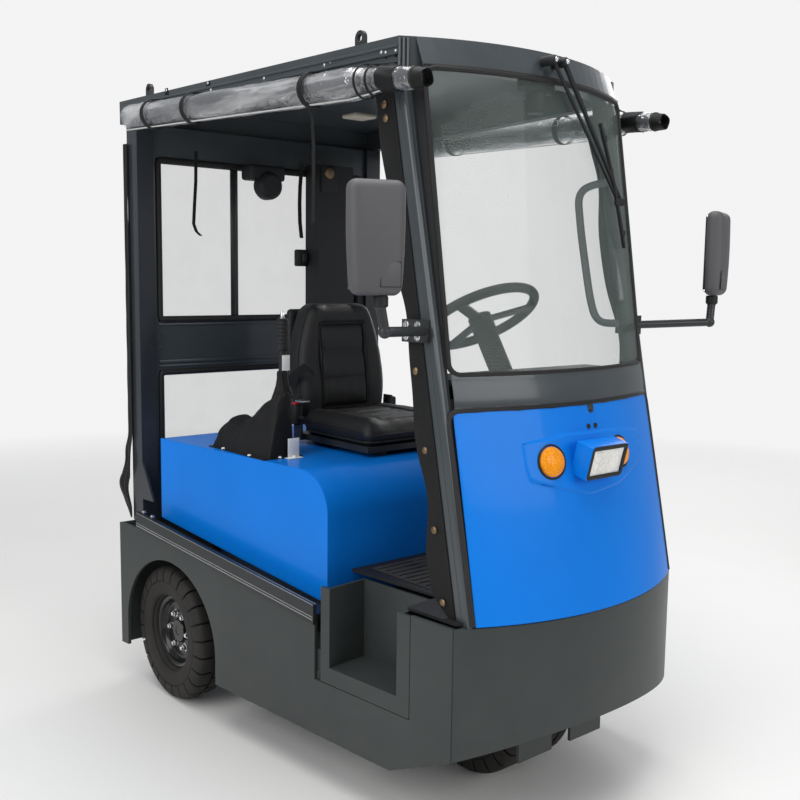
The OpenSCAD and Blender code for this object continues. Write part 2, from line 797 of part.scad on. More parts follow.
module lifting_eyes() {
  color("#2a2d2f") placed() both_sides() for (y = [behind_nose(518), 140])
    translate([-half_at(cab_half - 24, y), y, roof_at(y)]) difference() {
      union() {
        translate([-5, -18, 0.3]) cube([10, 36, 22]);
        translate([-5, 0, 22.3]) rotate([0, 90, 0]) cylinder(r = 18, h = 10);
      }
      translate([-10, 0, 22.3]) rotate([0, 90, 0]) cylinder(r = 9, h = 20);
    }
}

module tow_jaw() {
  color("#2a2d2f") placed() {
    difference() {
      translate([-60, rear_reach, 290]) cube([120, tow_reach - rear_reach, 130]);
      translate([-80, rear_reach + 30, 322]) cube([160, 100, 66]);
      translate([0, rear_reach + 66, 200]) cylinder(r = 14.05, h = 300);
    }
  }
}

module tow_pin() {
  color("#8d9296") placed() translate([0, rear_reach + 66, 270]) {
    cylinder(r = 14, h = 190);
    translate([0, 0, 190]) rotate([90, 0, 0]) translate([0, 18, -6]) rotate_extrude()
      translate([18, 0]) circle(r = 6, $fn = 24);
  }
}

module tail_lamps() {
  color("#b3261e") placed() both_sides()
    translate([-half_at(chassis_half, rear_reach) + 60, rear_reach, 420]) cube([90, 14, 60]);
}

side_plates();
nose_plate();
belly_frame();
sill_rails();
step_wells();
footwell_floor();
battery();
rear_axle();
tyre_rear_right();
tyre_rear_left();
rim_rear_right();
rim_rear_left();
tyres_front();
rim_front();
steer_fork();
hood();
seat_base();
seat_cushion();
seat_back();
brake_lever();
brake_boot();
front_panel();
headlamp();
front_indicators();
belt_trim();
a_pillars();
rear_posts();
roof();
windscreen();
rear_wall();
rear_glass();
equipment_column();
dashboard();
steering_column();
steering_wheel();
mirror_arms();
mirror_shells();
mirror_glasses();
wipers();
curtain_rolls();
curtain_straps();
lifting_eyes();
tow_jaw();
tow_pin();
tail_lamps();
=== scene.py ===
import math

import bpy
from mathutils import Matrix, Vector, noise


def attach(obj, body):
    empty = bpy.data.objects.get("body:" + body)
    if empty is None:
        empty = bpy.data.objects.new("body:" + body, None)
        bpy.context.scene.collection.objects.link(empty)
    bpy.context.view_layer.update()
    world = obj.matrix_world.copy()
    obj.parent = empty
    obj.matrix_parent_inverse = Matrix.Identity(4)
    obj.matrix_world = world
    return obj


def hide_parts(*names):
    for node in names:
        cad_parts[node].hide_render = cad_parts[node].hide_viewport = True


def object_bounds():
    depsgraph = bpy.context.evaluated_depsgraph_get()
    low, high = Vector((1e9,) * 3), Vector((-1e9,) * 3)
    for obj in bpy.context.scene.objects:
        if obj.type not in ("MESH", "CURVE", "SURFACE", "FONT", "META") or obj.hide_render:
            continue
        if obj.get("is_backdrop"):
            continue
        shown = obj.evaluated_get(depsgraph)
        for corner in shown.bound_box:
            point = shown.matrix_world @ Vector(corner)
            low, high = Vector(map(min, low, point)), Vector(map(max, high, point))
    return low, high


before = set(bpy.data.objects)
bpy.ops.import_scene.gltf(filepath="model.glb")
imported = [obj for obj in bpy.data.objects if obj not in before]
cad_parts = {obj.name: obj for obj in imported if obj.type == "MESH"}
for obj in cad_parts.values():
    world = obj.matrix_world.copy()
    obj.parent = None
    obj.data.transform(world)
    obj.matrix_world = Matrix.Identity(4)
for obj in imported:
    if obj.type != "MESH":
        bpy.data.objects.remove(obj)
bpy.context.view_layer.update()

# Places are written in metres from the rear axle's middle on the floor, as in the part's source;
# AXLE is that point's y in the part's frame. The vehicle faces -Y and its right side is -X.
AXLE = 0.486

# the sides' lean towards the nose, and half widths at the axle: plates, cab posts, roof's side
TAPER = math.tan(math.radians(5.33))
CHASSIS_HALF, CAB_HALF, ROOF_HALF = 0.5219, 0.4746, 0.4749

# height, crown ahead of the axle, radius from above, for the front skin
SKIN = ((0.538, 1.317, 0.753), (1.017, 1.200, 0.892), (1.103, 1.182, 0.900),
        (1.801, 1.090, 0.748), (1.871, 1.064, 0.735))


def at(x, y, z):
    return Vector((x, y + AXLE, z))


def half_at(base, y):
    """Half width of a side that leans in towards the nose."""
    return base + TAPER * y


def bump_at(x, middle, wide):
    """1 at the middle, falling away smoothly on both sides."""
    return math.exp(-((x - middle) / wide) ** 2)


def skin_y(x, z):
    """Where the front skin is, at a place across it and a height."""
    for (z0, c0, r0), (z1, c1, r1) in zip(SKIN, SKIN[1:]):
        if z <= z1 or z1 == SKIN[-1][0]:
            k = (z - z0) / (z1 - z0)
            crown, radius = c0 + k * (c1 - c0), r0 + k * (r1 - r0)
            return radius - crown - math.sqrt(radius * radius - x * x)


# camera and lamps
def make_camera():
    """The photo's own camera: turned to the right, down, and a little on its side."""
    yaw, pitch, roll = math.radians(40.2132), math.radians(6.8565), math.radians(0.7427)
    ahead = Vector((math.sin(yaw) * math.cos(pitch), math.cos(yaw) * math.cos(pitch),
                    -math.sin(pitch)))
    level = Vector((math.cos(yaw), -math.sin(yaw), 0))
    up = level.cross(ahead)
    right = math.cos(roll) * level + math.sin(roll) * up
    top = -math.sin(roll) * level + math.cos(roll) * up
    data = bpy.data.cameras.new("camera")
    data.lens, data.sensor_width = 45.016, 36.0
    camera = bpy.data.objects.new("camera", data)
    turn = Matrix((right, top, -ahead)).transposed().to_4x4()
    camera.matrix_world = Matrix.Translation(at(-1.907, -2.773, 1.316)) @ turn
    bpy.context.scene.collection.objects.link(camera)
    bpy.context.scene.camera = camera


def make_lamp(name, place, aim, size, watts):
    data = bpy.data.lights.new(name, "AREA")
    data.shape, data.size, data.size_y = "RECTANGLE", size[0], size[1]
    data.energy = watts
    lamp = bpy.data.objects.new(name, data)
    lamp.location = place
    lamp.rotation_euler = (Vector(aim) - Vector(place)).to_track_quat("-Z", "Y").to_euler()
    bpy.context.scene.collection.objects.link(lamp)


make_camera()
bpy.context.scene.view_settings.view_transform = "Standard"
make_lamp("lamp_over", (-0.4, -0.3, 4.6), (0, 0, 0.6), (3.2, 4.6), 150)
make_lamp("lamp_right", (-4.6, -0.6, 2.9), (0, 0, 0.8), (2.6, 3.6), 95)
make_lamp("lamp_front", (0.8, -5.2, 2.6), (0, 0, 0.9), (3.4, 2.2), 70)
make_lamp("lamp_left", (4.4, 1.8, 2.8), (0, 0, 0.9), (2.4, 3.0), 60)


class Value:
    """A socket that takes part in arithmetic: an expression adds its Math nodes."""

    def __init__(self, finish, socket):
        self.finish, self.socket = finish, socket

    def maths(self, operation, *terms):
        return self.finish.node("ShaderNodeMath", {"operation": operation},
                                dict(enumerate(terms)))

    def __add__(self, other):
        return self.maths("ADD", self, other)

    def __radd__(self, other):
        return self.maths("ADD", other, self)

    def __sub__(self, other):
        return self.maths("SUBTRACT", self, other)

    def __rsub__(self, other):
        return self.maths("SUBTRACT", other, self)

    def __mul__(self, other):
        return self.maths("MULTIPLY", self, other)

    def __rmul__(self, other):
        return self.maths("MULTIPLY", other, self)

    def __pow__(self, other):
        return self.maths("POWER", self, other)

    def over(self, low, high):
        """0 below low, 1 above high."""
        return self.finish.node("ShaderNodeMapRange", {"clamp": True},
                                {"Value": self, "From Min": low, "From Max": high})


class Finish:
    """One material: a principled shader whose plain values are set on its own sockets."""

    def __init__(self, name, **plain):
        self.material = bpy.data.materials.new(name)
        self.material.use_nodes = True
        self.tree = self.material.node_tree
        self.tree.nodes.clear()
        self.shader = self.tree.nodes.new("ShaderNodeBsdfPrincipled")
        self.output = self.tree.nodes.new("ShaderNodeOutputMaterial")
        self.tree.links.new(self.shader.outputs[0], self.output.inputs[0])
        for socket, value in plain.items():
            self.shader.inputs[socket.replace("_", " ")].default_value = value
        self.place = self.node("ShaderNodeTexCoord", out="Object")

    def node(self, kind, settings=None, inputs=None, out=0):
        made = self.tree.nodes.new(kind)
        for key, value in (settings or {}).items():
            setattr(made, key, value)
        for key, value in (inputs or {}).items():
            if isinstance(value, Value):
                self.tree.links.new(value.socket, made.inputs[key])
            else:
                made.inputs[key].default_value = value
        return Value(self, made.outputs[out])

    def feed(self, **links):
        for socket, value in links.items():
            self.tree.links.new(value.socket, self.shader.inputs[socket.replace("_", " ")])

    def axis(self, name):
        return self.node("ShaderNodeSeparateXYZ", inputs={0: self.place}, out=name)

    def noise(self, scale, detail=3.0, rough=0.55, of=None):
        return self.node("ShaderNodeTexNoise", inputs={
            "Vector": of or self.place, "Scale": scale, "Detail": detail, "Roughness": rough})

    def cells(self, scale, feature="F1"):
        return self.node("ShaderNodeTexVoronoi", {"feature": feature},
                         {"Vector": self.place, "Scale": scale}, "Distance")

    def stretch(self, x, y, z):
        return self.node("ShaderNodeMapping", inputs={"Vector": self.place, "Scale": (x, y, z)})

    def blend(self, factor, low, high):
        """Goes from one colour to another."""
        return self.node("ShaderNodeMix", {"data_type": "RGBA"},
                         {0: factor, 6: low, 7: high}, 2)

    def relief(self, height, depth, strength=1.0, below=None):
        """A bump of a depth in metres."""
        wires = {"Height": height, "Distance": depth, "Strength": strength}
        if below:
            wires["Normal"] = below
        return self.node("ShaderNodeBump", inputs=wires)


def rgba(red, green, blue):
    return (red, green, blue, 1.0)


def shade(colour, by):
    """The same colour, so many times as bright."""
    return rgba(*(min(1, c * by) for c in colour[:3]))


def paint(name, colour, rough, coat=0.0, coat_rough=0.1, peel=0.00006, dust=0.0, spread=0.12,
          edge=0.0022, shine=0.3):
    """Sprayed paint: slow colour drift, orange peel, and dust that thickens to the floor."""
    made = Finish(name, Coat_Weight=coat, Coat_Roughness=coat_rough, Specular_IOR_Level=shine)
    drift = made.noise(3.1, 4).over(0.3, 0.7)
    tone = made.blend(drift, shade(colour, 1 - spread), shade(colour, 1 + spread))
    specks = made.noise(240, 2, 0.7).over(0.62, 0.8)
    tone = made.blend(specks * 0.10, tone, shade(colour, 2.2))
    if dust:
        low = 1 - made.axis("Z").over(0.02, 0.55)
        film = (low * 0.55 + 0.18) * made.noise(11, 5, 0.65).over(0.35, 0.8) * dust
        tone = made.blend(film, tone, rgba(0.33, 0.31, 0.28))
        made.feed(Roughness=film * 0.5 + drift * 0.06 + (rough - 0.03))
    else:
        made.feed(Roughness=drift * 0.06 + (rough - 0.03))
    skin = made.noise(420, 2, 0.5)
    rounded = made.node("ShaderNodeBevel", {"samples": 4}, {"Radius": edge})
    made.feed(Base_Color=tone, Normal=made.relief(skin, peel, below=rounded))
    return made.material


def moulding(name, colour, rough, grain=900):
    """Moulded plastic with a fine spark-eroded grain."""
    made = Finish(name, Specular_IOR_Level=0.35)
    drift = made.noise(5, 3).over(0.3, 0.7)
    pits = made.cells(grain)
    tone = made.blend(drift, shade(colour, 0.9), shade(colour, 1.1))
    scuffs = made.noise(38, 6, 0.7, made.stretch(1, 1, 0.25)).over(0.66, 0.82)
    tone = made.blend(scuffs * 0.25, tone, shade(colour, 2.4))
    made.feed(Base_Color=tone, Roughness=pits * 0.12 + drift * 0.06 + scuffs * 0.1 + (rough - 0.08),
              Normal=made.relief(pits, 0.00012))
    return made.material


def hide(name, colour, rough, depth=0.00022, scale=520, sheen=0.05, shine=0.36):
    """Grained vinyl: fine leather cells over soft creases."""
    made = Finish(name, Sheen_Weight=sheen, Sheen_Roughness=0.4, Specular_IOR_Level=shine)
    cells = made.cells(scale, "DISTANCE_TO_EDGE").over(0.0, 0.25)
    creases = made.noise(26, 4, 0.6)
    drift = made.noise(6, 3).over(0.3, 0.7)
    tone = made.blend(drift, shade(colour, 0.85), shade(colour, 1.3))
    tone = made.blend((1 - cells) * 0.5, tone, shade(colour, 0.5))
    fine = made.relief(cells, depth)
    made.feed(Base_Color=tone, Roughness=drift * 0.1 + (1 - cells) * 0.15 + (rough - 0.05),
              Normal=made.relief(creases, 0.0008, 0.5, fine))
    return made.material


def rubber(name, colour, rough=0.75, dust=0.22):
    """Dull rubber with patches of pale dust."""
    made = Finish(name, Specular_IOR_Level=0.35)
    drift = made.noise(9, 5, 0.65).over(0.35, 0.7)
    grain = made.noise(700, 2)
    tone = made.blend(drift * dust, colour, rgba(0.085, 0.075, 0.064))
    made.feed(Base_Color=tone, Roughness=drift * 0.12 + (rough - 0.06),
              Normal=made.relief(grain, 0.00015))
    return made.material


def steel(name, colour, rough, brush=(1, 1, 40)):
    """Bare or plated metal with drawn lines and faint stains."""
    made = Finish(name, Metallic=1.0)
    lines = made.noise(90, 3, 0.6, made.stretch(*brush))
    stains = made.noise(14, 5, 0.6).over(0.45, 0.8)
    tone = made.blend(stains, colour, shade(colour, 0.72))
    made.feed(Base_Color=tone, Roughness=lines * 0.12 + stains * 0.12 + (rough - 0.06),
              Normal=made.relief(lines, 0.00005))
    return made.material


def clear(name, tint, low, high, rough=0.03, ripple=0.0, ripple_scale=12, shine=0.4, reflection_paint=0.0,
          metallic=0.0):
    """Clear sheet, denser seen along it than straight on; the streaks and bands along a roll are
    painted reflections, light and dark.
    """
    made = Finish(name, IOR=1.5, Specular_IOR_Level=shine, Metallic=metallic)
    edge = made.node("ShaderNodeLayerWeight", inputs={"Blend": 0.35}, out="Facing")
    smear = made.noise(7, 5, 0.65).over(0.45, 0.85)
    tone = made.blend(smear * 0.4, tint, shade(tint, 1.25))
    cover = edge ** 2 * (high - low) + smear * 0.03 + low
    if reflection_paint:
        # painted reflections along the roll: broad light and dark bands, and dark streaks where the
        # film is also made less clear
        painted_dark_streaks = made.noise(30, 4, 0.6, made.stretch(1, 0.09, 1)).over(0.49, 0.56)
        painted_reflection_bands = made.noise(14, 3, 0.5, made.stretch(1, 0.10, 1)).over(0.52, 0.58)
        tone = made.blend(painted_reflection_bands * 0.6, shade(tint, 1.15), shade(tint, 0.30))
        tone = made.blend(painted_dark_streaks * reflection_paint, tone, shade(tint, 0.22))
        cover = cover + painted_dark_streaks * 0.35 * reflection_paint
    made.feed(Base_Color=tone, Alpha=cover, Roughness=smear * 0.08 + rough)
    if ripple:
        made.feed(Normal=made.relief(made.noise(ripple_scale, 3), ripple))
    return made.material


def lens(name, colour, glow, cell, mark=0.5, depth=0.0006, alpha=1.0):
    """Moulded lens with prisms behind its face."""
    made = Finish(name, Roughness=0.14, Coat_Weight=0.15, Coat_Roughness=0.04,
                  Specular_IOR_Level=0.18, Emission_Strength=glow, Alpha=alpha)
    prism = made.cells(cell, "DISTANCE_TO_EDGE").over(0.02, 0.12)
    deep = made.noise(30, 4).over(0.35, 0.75)
    tone = made.blend(deep, shade(colour, 0.72), colour)
    tone = made.blend(prism * mark, tone, shade(colour, 1.5))
    made.feed(Base_Color=tone, Normal=made.relief(prism, depth), Emission_Color=tone)
    return made.material


def weave(name, colour):
    """Black webbing: ribs across a strap."""
    made = Finish(name, Sheen_Weight=0.05, Specular_IOR_Level=0.2)
    along = made.noise(260, 2)
    cross = made.node("ShaderNodeTexWave", {"bands_direction": "DIAGONAL"},
                      {"Vector": made.place, "Scale": 190.0, "Distortion": 0.6})
    tone = made.blend(cross, shade(colour, 0.6), shade(colour, 1.6))
    made.feed(Base_Color=tone, Roughness=along * 0.1 + 0.62, Normal=made.relief(cross, 0.0003))
    return made.material


# making pieces
def deselect():
    if bpy.context.object and bpy.context.object.mode == "EDIT":
        bpy.ops.object.mode_set(mode="OBJECT")
    bpy.ops.object.select_all(action="DESELECT")


def alone(piece):
    deselect()
    piece.select_set(True)
    bpy.context.view_layer.objects.active = piece


def worked(piece, kind, **settings):
    """Adds a modifier and applies it."""
    alone(piece)
    modifier = piece.modifiers.new(kind, kind)
    for key, value in settings.items():
        setattr(modifier, key, value)
    bpy.ops.object.modifier_apply(modifier=modifier.name)
    return piece


def moved(piece, matrix):
    piece.data.transform(matrix)
    piece.data.update()
    return piece


def copied(piece, matrix=None):
    double = piece.copy()
    double.data = piece.data.copy()
    bpy.context.scene.collection.objects.link(double)
    return moved(double, matrix) if matrix else double


def mirrored(piece):
    """A copy on the other side of the vehicle, its faces turned back outwards."""
    double = copied(piece, Matrix.Scale(-1, 4, (1, 0, 0)))
    double.data.flip_normals()
    return double


def joined(*pieces):
    deselect()
    for piece in pieces:
        piece.select_set(True)
    bpy.context.view_layer.objects.active = pieces[0]
    bpy.ops.object.join()
    return bpy.context.object


def ringed(piece, count, start=0.0):
    """Copies of a piece spread round the X axis, joined."""
    ring = [copied(piece, Matrix.Rotation(math.tau * i / count + start, 4, "X"))
            for i in range(count)]
    bpy.data.objects.remove(piece)
    return joined(*ring)


def tidied(piece, outward=True):
    """Merges doubles and, on a closed form, points the faces outwards."""
    alone(piece)
    bpy.ops.object.mode_set(mode="EDIT")
    bpy.ops.mesh.select_all(action="SELECT")
    bpy.ops.mesh.remove_doubles(threshold=0.00002)
    if outward:
        bpy.ops.mesh.normals_make_consistent(inside=False)
    bpy.ops.object.mode_set(mode="OBJECT")
    return piece


def block(low, high, round_by, steps=2):
    """A box between two corners with its edges rounded."""
    low, high = Vector(low), Vector(high)
    deselect()
    bpy.ops.mesh.primitive_cube_add(size=1, location=(low + high) / 2)
    piece = bpy.context.object
    piece.scale = high - low
    bpy.ops.object.transform_apply(location=True, rotation=True, scale=True)
    return worked(piece, "BEVEL", width=round_by, segments=steps)


def from_axle(piece):
    """Moves a piece that was made in the source's own places to its place in the frame."""
    return moved(piece, Matrix.Translation((0, AXLE, 0)))


def upright(axis):
    return Vector(axis).to_track_quat("Z", "Y").to_matrix().to_4x4()


def turned(outline, foot, axis, sides):
    """A turned piece: each point of the outline is a radius and a height along the axis."""
    deselect()
    bpy.ops.mesh.primitive_plane_add(size=0.001, location=(0, 0, 0))
    piece = bpy.context.object
    bpy.ops.object.mode_set(mode="EDIT")
    bpy.ops.mesh.select_all(action="SELECT")
    bpy.ops.mesh.merge(type="CENTER")
    bpy.ops.transform.translate(value=(outline[0][0], 0, outline[0][1]))
    for (r0, z0), (r1, z1) in zip(outline, outline[1:]):
        bpy.ops.mesh.extrude_region_move(
            TRANSFORM_OT_translate={"value": (r1 - r0, 0, z1 - z0)})
    bpy.ops.mesh.select_all(action="SELECT")
    bpy.ops.mesh.spin(steps=sides, angle=math.tau, center=(0, 0, 0), axis=(0, 0, 1))
    bpy.ops.object.mode_set(mode="OBJECT")
    tidied(piece)
    return moved(piece, Matrix.Translation(foot) @ upright(axis))


def surface(across, along, where, thick=0.0):
    """A sheet of faces: where(u, v), both from 0 to 1, gives each corner's place."""
    deselect()
    bpy.ops.mesh.primitive_grid_add(x_subdivisions=across, y_subdivisions=along, size=2)
    piece = bpy.context.object
    for corner in piece.data.vertices:
        corner.co = where(corner.co.x / 2 + 0.5, corner.co.y / 2 + 0.5)
    tidied(piece, False)
    if thick:
        worked(piece, "SOLIDIFY", thickness=thick, offset=0.0, use_even_offset=False)
    return piece


def rod(points, radius, sides, bend=True, loop=False):
    """A round rod or tube through points."""
    deselect()
    bpy.ops.curve.primitive_nurbs_path_add()
    piece = bpy.context.object
    curve = piece.data
    curve.splines.clear()
    line = curve.splines.new("NURBS" if bend else "POLY")
    line.points.add(len(points) - 1)
    for point, place in zip(line.points, points):
        point.co = (*place, 1)
    line.use_endpoint_u, line.use_cyclic_u = not loop, loop
    line.order_u, line.resolution_u = 3, 6
    curve.bevel_depth, curve.bevel_resolution = radius, sides // 4
    curve.use_fill_caps = not loop
    bpy.ops.object.convert(target="MESH")
    return tidied(bpy.context.object)


def plate(outline, thick, matrix, round_by=0.0):
    """A flat plate cut to an outline in its own X and Y, thickened along its Z."""
    deselect()
    bpy.ops.mesh.primitive_circle_add(vertices=len(outline), fill_type="NGON")
    piece = bpy.context.object
    for corner, (x, y) in zip(piece.data.vertices, outline):
        corner.co = (x, y, 0)
    tidied(piece)
    worked(piece, "SOLIDIFY", thickness=thick, offset=0.0)
    tidied(piece)
    if round_by:
        worked(piece, "BEVEL", width=round_by, segments=2, limit_method="ANGLE",
               angle_limit=math.radians(40))
    return moved(piece, matrix)


def band(points, across, width, thick):
    """Flat webbing through points, laid across a direction."""
    across = Vector(across).normalized() * width / 2
    count = len(points) - 1

    def where(u, v):
        k = min(int(v * count), count - 1)
        place = points[k].lerp(points[k + 1], v * count - k)
        return place + across * (2 * u - 1)

    return surface(4, count, where, thick)


def settled(piece, name, finish, body="chassis", angle=35):
    """Names a finished piece, gives it its material, and lets it ride on its body."""
    alone(piece)
    bpy.ops.object.transform_apply(location=True, rotation=True, scale=True)
    bpy.ops.object.shade_smooth_by_angle(angle=math.radians(angle))
    piece.name = piece.data.name = name
    piece.data.materials.clear()
    piece.data.materials.append(FINISHES[finish][0])
    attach(piece, body)
    return piece


def both(piece, name, finish, angle=35):
    """The right-hand piece and its mirror image, on the chassis."""
    twin = mirrored(piece)
    return (settled(piece, name + "_right", finish, angle=angle),
            settled(twin, name + "_left", finish, angle=angle))


# each finish: its material, and the slot that it fills
GREY = rgba(0.043, 0.052, 0.058)
BLUE = rgba(0.003, 0.190, 0.72)
BLACK = rgba(0.012, 0.0125, 0.0135)
FINISHES = {
    "chassis": (paint("chassis_paint", rgba(0.036, 0.042, 0.041), 0.44, 0.05, 0.25, dust=0.07),
                "chassis_paint"),
    "cab": (paint("cab_paint", GREY, 0.30, 0.4, 0.12, dust=0.15), "cab_paint"),
    "blue": (paint("blue_paint", BLUE, 0.34, 0.14, 0.08, 0.00003, 0, 0.05, 0.005, 0.10),
             "blue_paint"),
    # a darker copy of the blue paint: painted shade for the field's crease
    "painted_shade_blue": (paint("blue_crease", rgba(0.002, 0.075, 0.34), 0.34, shine=0.1), "blue_paint"),
    "rail": (paint("rail_paint", rgba(0.015, 0.018, 0.019), 0.36, 0.15, 0.2, dust=0.05),
             "chassis_paint"),
    "post": (paint("post_paint", rgba(0.026, 0.030, 0.037), 0.30, 0.4, 0.12, dust=0.08),
             "cab_paint"),
    "rubber": (rubber("tyre_rubber", rgba(0.0145, 0.0135, 0.0125)), "rubber"),
    "seal": (rubber("seal_rubber", rgba(0.010, 0.010, 0.011), 0.5, 0.12), "vinyl"),
    "mat": (rubber("mat_rubber", rgba(0.030, 0.030, 0.031), 0.6, 0.3), "rubber"),
    "rim": (paint("rim_paint", rgba(0.006, 0.006, 0.006), 0.24, 0.4, 0.10, dust=0.03, shine=0.2),
            "rim_paint"),
    "black_steel": (paint("black_steel", rgba(0.020, 0.022, 0.024), 0.4, 0.2, dust=0.2),
                    "black_steel"),
    "vinyl": (hide("seat_vinyl", rgba(0.0105, 0.0105, 0.0115), 0.33), "vinyl"),
    "cover": (hide("cover_vinyl", rgba(0.0085, 0.0085, 0.0090), 0.36, 0.0003, 380, 0.03, 0.2),
              "vinyl"),
    "plastic": (moulding("black_plastic", BLACK, 0.55), "black_plastic"),
    "grey_plastic": (moulding("mirror_plastic", rgba(0.092, 0.088, 0.094), 0.5, 700),
                     "grey_plastic"),
    "mirror": (steel("mirror_face", rgba(0.80, 0.82, 0.84), 0.09, (1, 1, 1)), "mirror_face"),
    "glass": (clear("cab_glass", rgba(0.17, 0.215, 0.195), 0.15, 0.62), "clear_glass"),
    # the rolled film's streaks and bands are painted reflections
    "film": (clear("curtain_film", rgba(0.88, 0.91, 0.97), 0.20, 0.94, 0.02, ripple=0.010,
                   ripple_scale=22, shine=1.0, reflection_paint=0.80, metallic=0.6), "clear_vinyl"),
    "headlight": (lens("headlight_lens", rgba(0.86, 0.84, 0.78), 0.20, 70, 0.30, 0.0004, 0.66),
                  "lamp_lens"),
    "amber": (lens("amber_lens", rgba(0.93, 0.27, 0.004), 0.12, 150), "amber_lens"),
    "red": (lens("red_lens", rgba(0.55, 0.015, 0.01), 0.05, 140), "red_lens"),
    "steel": (steel("bare_steel", rgba(0.56, 0.57, 0.58), 0.32), "bare_steel"),
    "chrome": (steel("bright_plating", rgba(0.78, 0.79, 0.80), 0.14), "bare_steel"),
    "brass": (steel("snap_brass", rgba(0.24, 0.165, 0.10), 0.42), "bare_steel"),
    "web": (weave("strap_webbing", rgba(0.008, 0.008, 0.0085)), "vinyl"),
    "white": (moulding("pale_plastic", rgba(0.74, 0.74, 0.72), 0.45), "grey_plastic"),
    "beige": (moulding("lamp_cover", rgba(0.50, 0.46, 0.38), 0.5), "grey_plastic"),
    "battery": (moulding("battery_case", rgba(0.045, 0.075, 0.13), 0.6), "battery_case"),
    "red_button": (moulding("red_button", rgba(0.5, 0.02, 0.03), 0.4), "red_lens"),
    "grey_steel": (paint("grey_rod", rgba(0.20, 0.205, 0.21), 0.4, 0.2), "black_steel"),
}

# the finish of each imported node
NODE_FINISH = {
    "chassis": ("side_plates", "nose_plate", "belly_frame", "step_wells"),
    "rail": ("sill_rails",),
    "post": ("rear_posts",),
    "cab": ("a_pillars", "roof", "belt_trim", "rear_wall"),
    "blue": ("hood", "front_panel"),
    "rubber": ("tyre_rear_right", "tyre_rear_left", "tyres_front"),
    "rim": ("rim_rear_right", "rim_rear_left", "rim_front"),
    "black_steel": ("rear_axle", "steer_fork", "seat_base", "mirror_arms", "lifting_eyes",
                    "tow_jaw"),
    "vinyl": ("seat_cushion", "seat_back", "brake_boot"),
    "plastic": ("footwell_floor", "brake_lever", "equipment_column", "dashboard",
                "steering_column", "steering_wheel", "wipers"),
    "grey_plastic": ("mirror_shells",),
    "mirror": ("mirror_glasses",),
    "glass": ("windscreen", "rear_glass"),
    "film": ("curtain_rolls",),
    "web": ("curtain_straps",),
    "headlight": ("headlamp",),
    "amber": ("front_indicators",),
    "red": ("tail_lamps",),
    "steel": ("tow_pin",),
    "battery": ("battery",),
}
for finish, nodes in NODE_FINISH.items():
    for node in nodes:
        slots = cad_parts[node].data.materials
        slots.clear()
        slots.append(FINISHES[finish][0])


# swept sections and small hardware
def swept(section, stations, capped=True):
    """A closed section carried through frames: every station moves each of its points in turn."""
    points = section + section[:1]
    across, along_it = len(points) - 1, len(stations) - 1

    def where(u, v):
        x, y = points[round(u * across)]
        return stations[round(v * along_it)] @ Vector((x, y, 0))

    piece = surface(across, along_it, where)
    if capped:
        alone(piece)
        bpy.ops.object.mode_set(mode="EDIT")
        bpy.ops.mesh.select_all(action="SELECT")
        bpy.ops.mesh.fill_holes(sides=0)
        bpy.ops.object.mode_set(mode="OBJECT")
        tidied(piece)
    return piece


def station_at(place, ahead, up):
    """A frame at a place: Z looks ahead and Y is as near as it can be to up."""
    side = up.cross(ahead).normalized()
    turn = Matrix((side, ahead.cross(side), ahead)).transposed().to_4x4()
    return Matrix.Translation(place) @ turn


def frames(points, up_at):
    """Frames along an open path; up_at gives the direction that Y keeps to at a place."""
    last = len(points) - 1
    return [station_at(place, (points[min(i + 1, last)] - points[max(i - 1, 0)]).normalized(),
                       up_at(place)) for i, place in enumerate(points)]


def frames_round(points, up_at):
    """Frames round a closed path, the first one again at its end."""
    count = len(points)
    made = [station_at(place, (points[(i + 1) % count] - points[i - 1]).normalized(),
                       up_at(place)) for i, place in enumerate(points)]
    return made + made[:1]


def corners(steps):
    """Goes round a rounded rectangle: which corner, and the way out from its centre."""
    for sx, sy, start in ((1, -1, -90), (1, 1, 0), (-1, 1, 90), (-1, -1, 180)):
        for step in range(steps):
            turn = math.radians(start + 90 * step / (steps - 1))
            yield sx, sy, math.cos(turn), math.sin(turn)


def hexagon(place, axis, across, tall, washer):
    """A hexagon bolt head or nut with a chamfered crown, on a washer of a given radius."""
    r = across / 2
    head = turned([(0, 0), (r, 0), (r, tall * 0.8), (r * 0.86, tall), (0, tall)], (0, 0, 0),
                  (0, 0, 1), 6)
    ring = turned([(0, -0.0005), (washer, -0.0005), (washer, 0.0012), (0, 0.0012)], (0, 0, 0),
                  (0, 0, 1), 24)
    return moved(joined(head, ring), Matrix.Translation(place) @ upright(axis))


def domed(place, axis, radius, tall, sides=20):
    """A round rivet or snap: a low dome with a rim."""
    return turned([(0, tall), (radius * 0.45, tall * 0.92), (radius * 0.8, tall * 0.6),
                   (radius, tall * 0.2), (radius, -0.0008), (0, -0.0008)], place, axis, sides)


# wheels
TYRE_R, RIM_R, LUGS, NUTS = 0.2075, 0.104, 24, 6


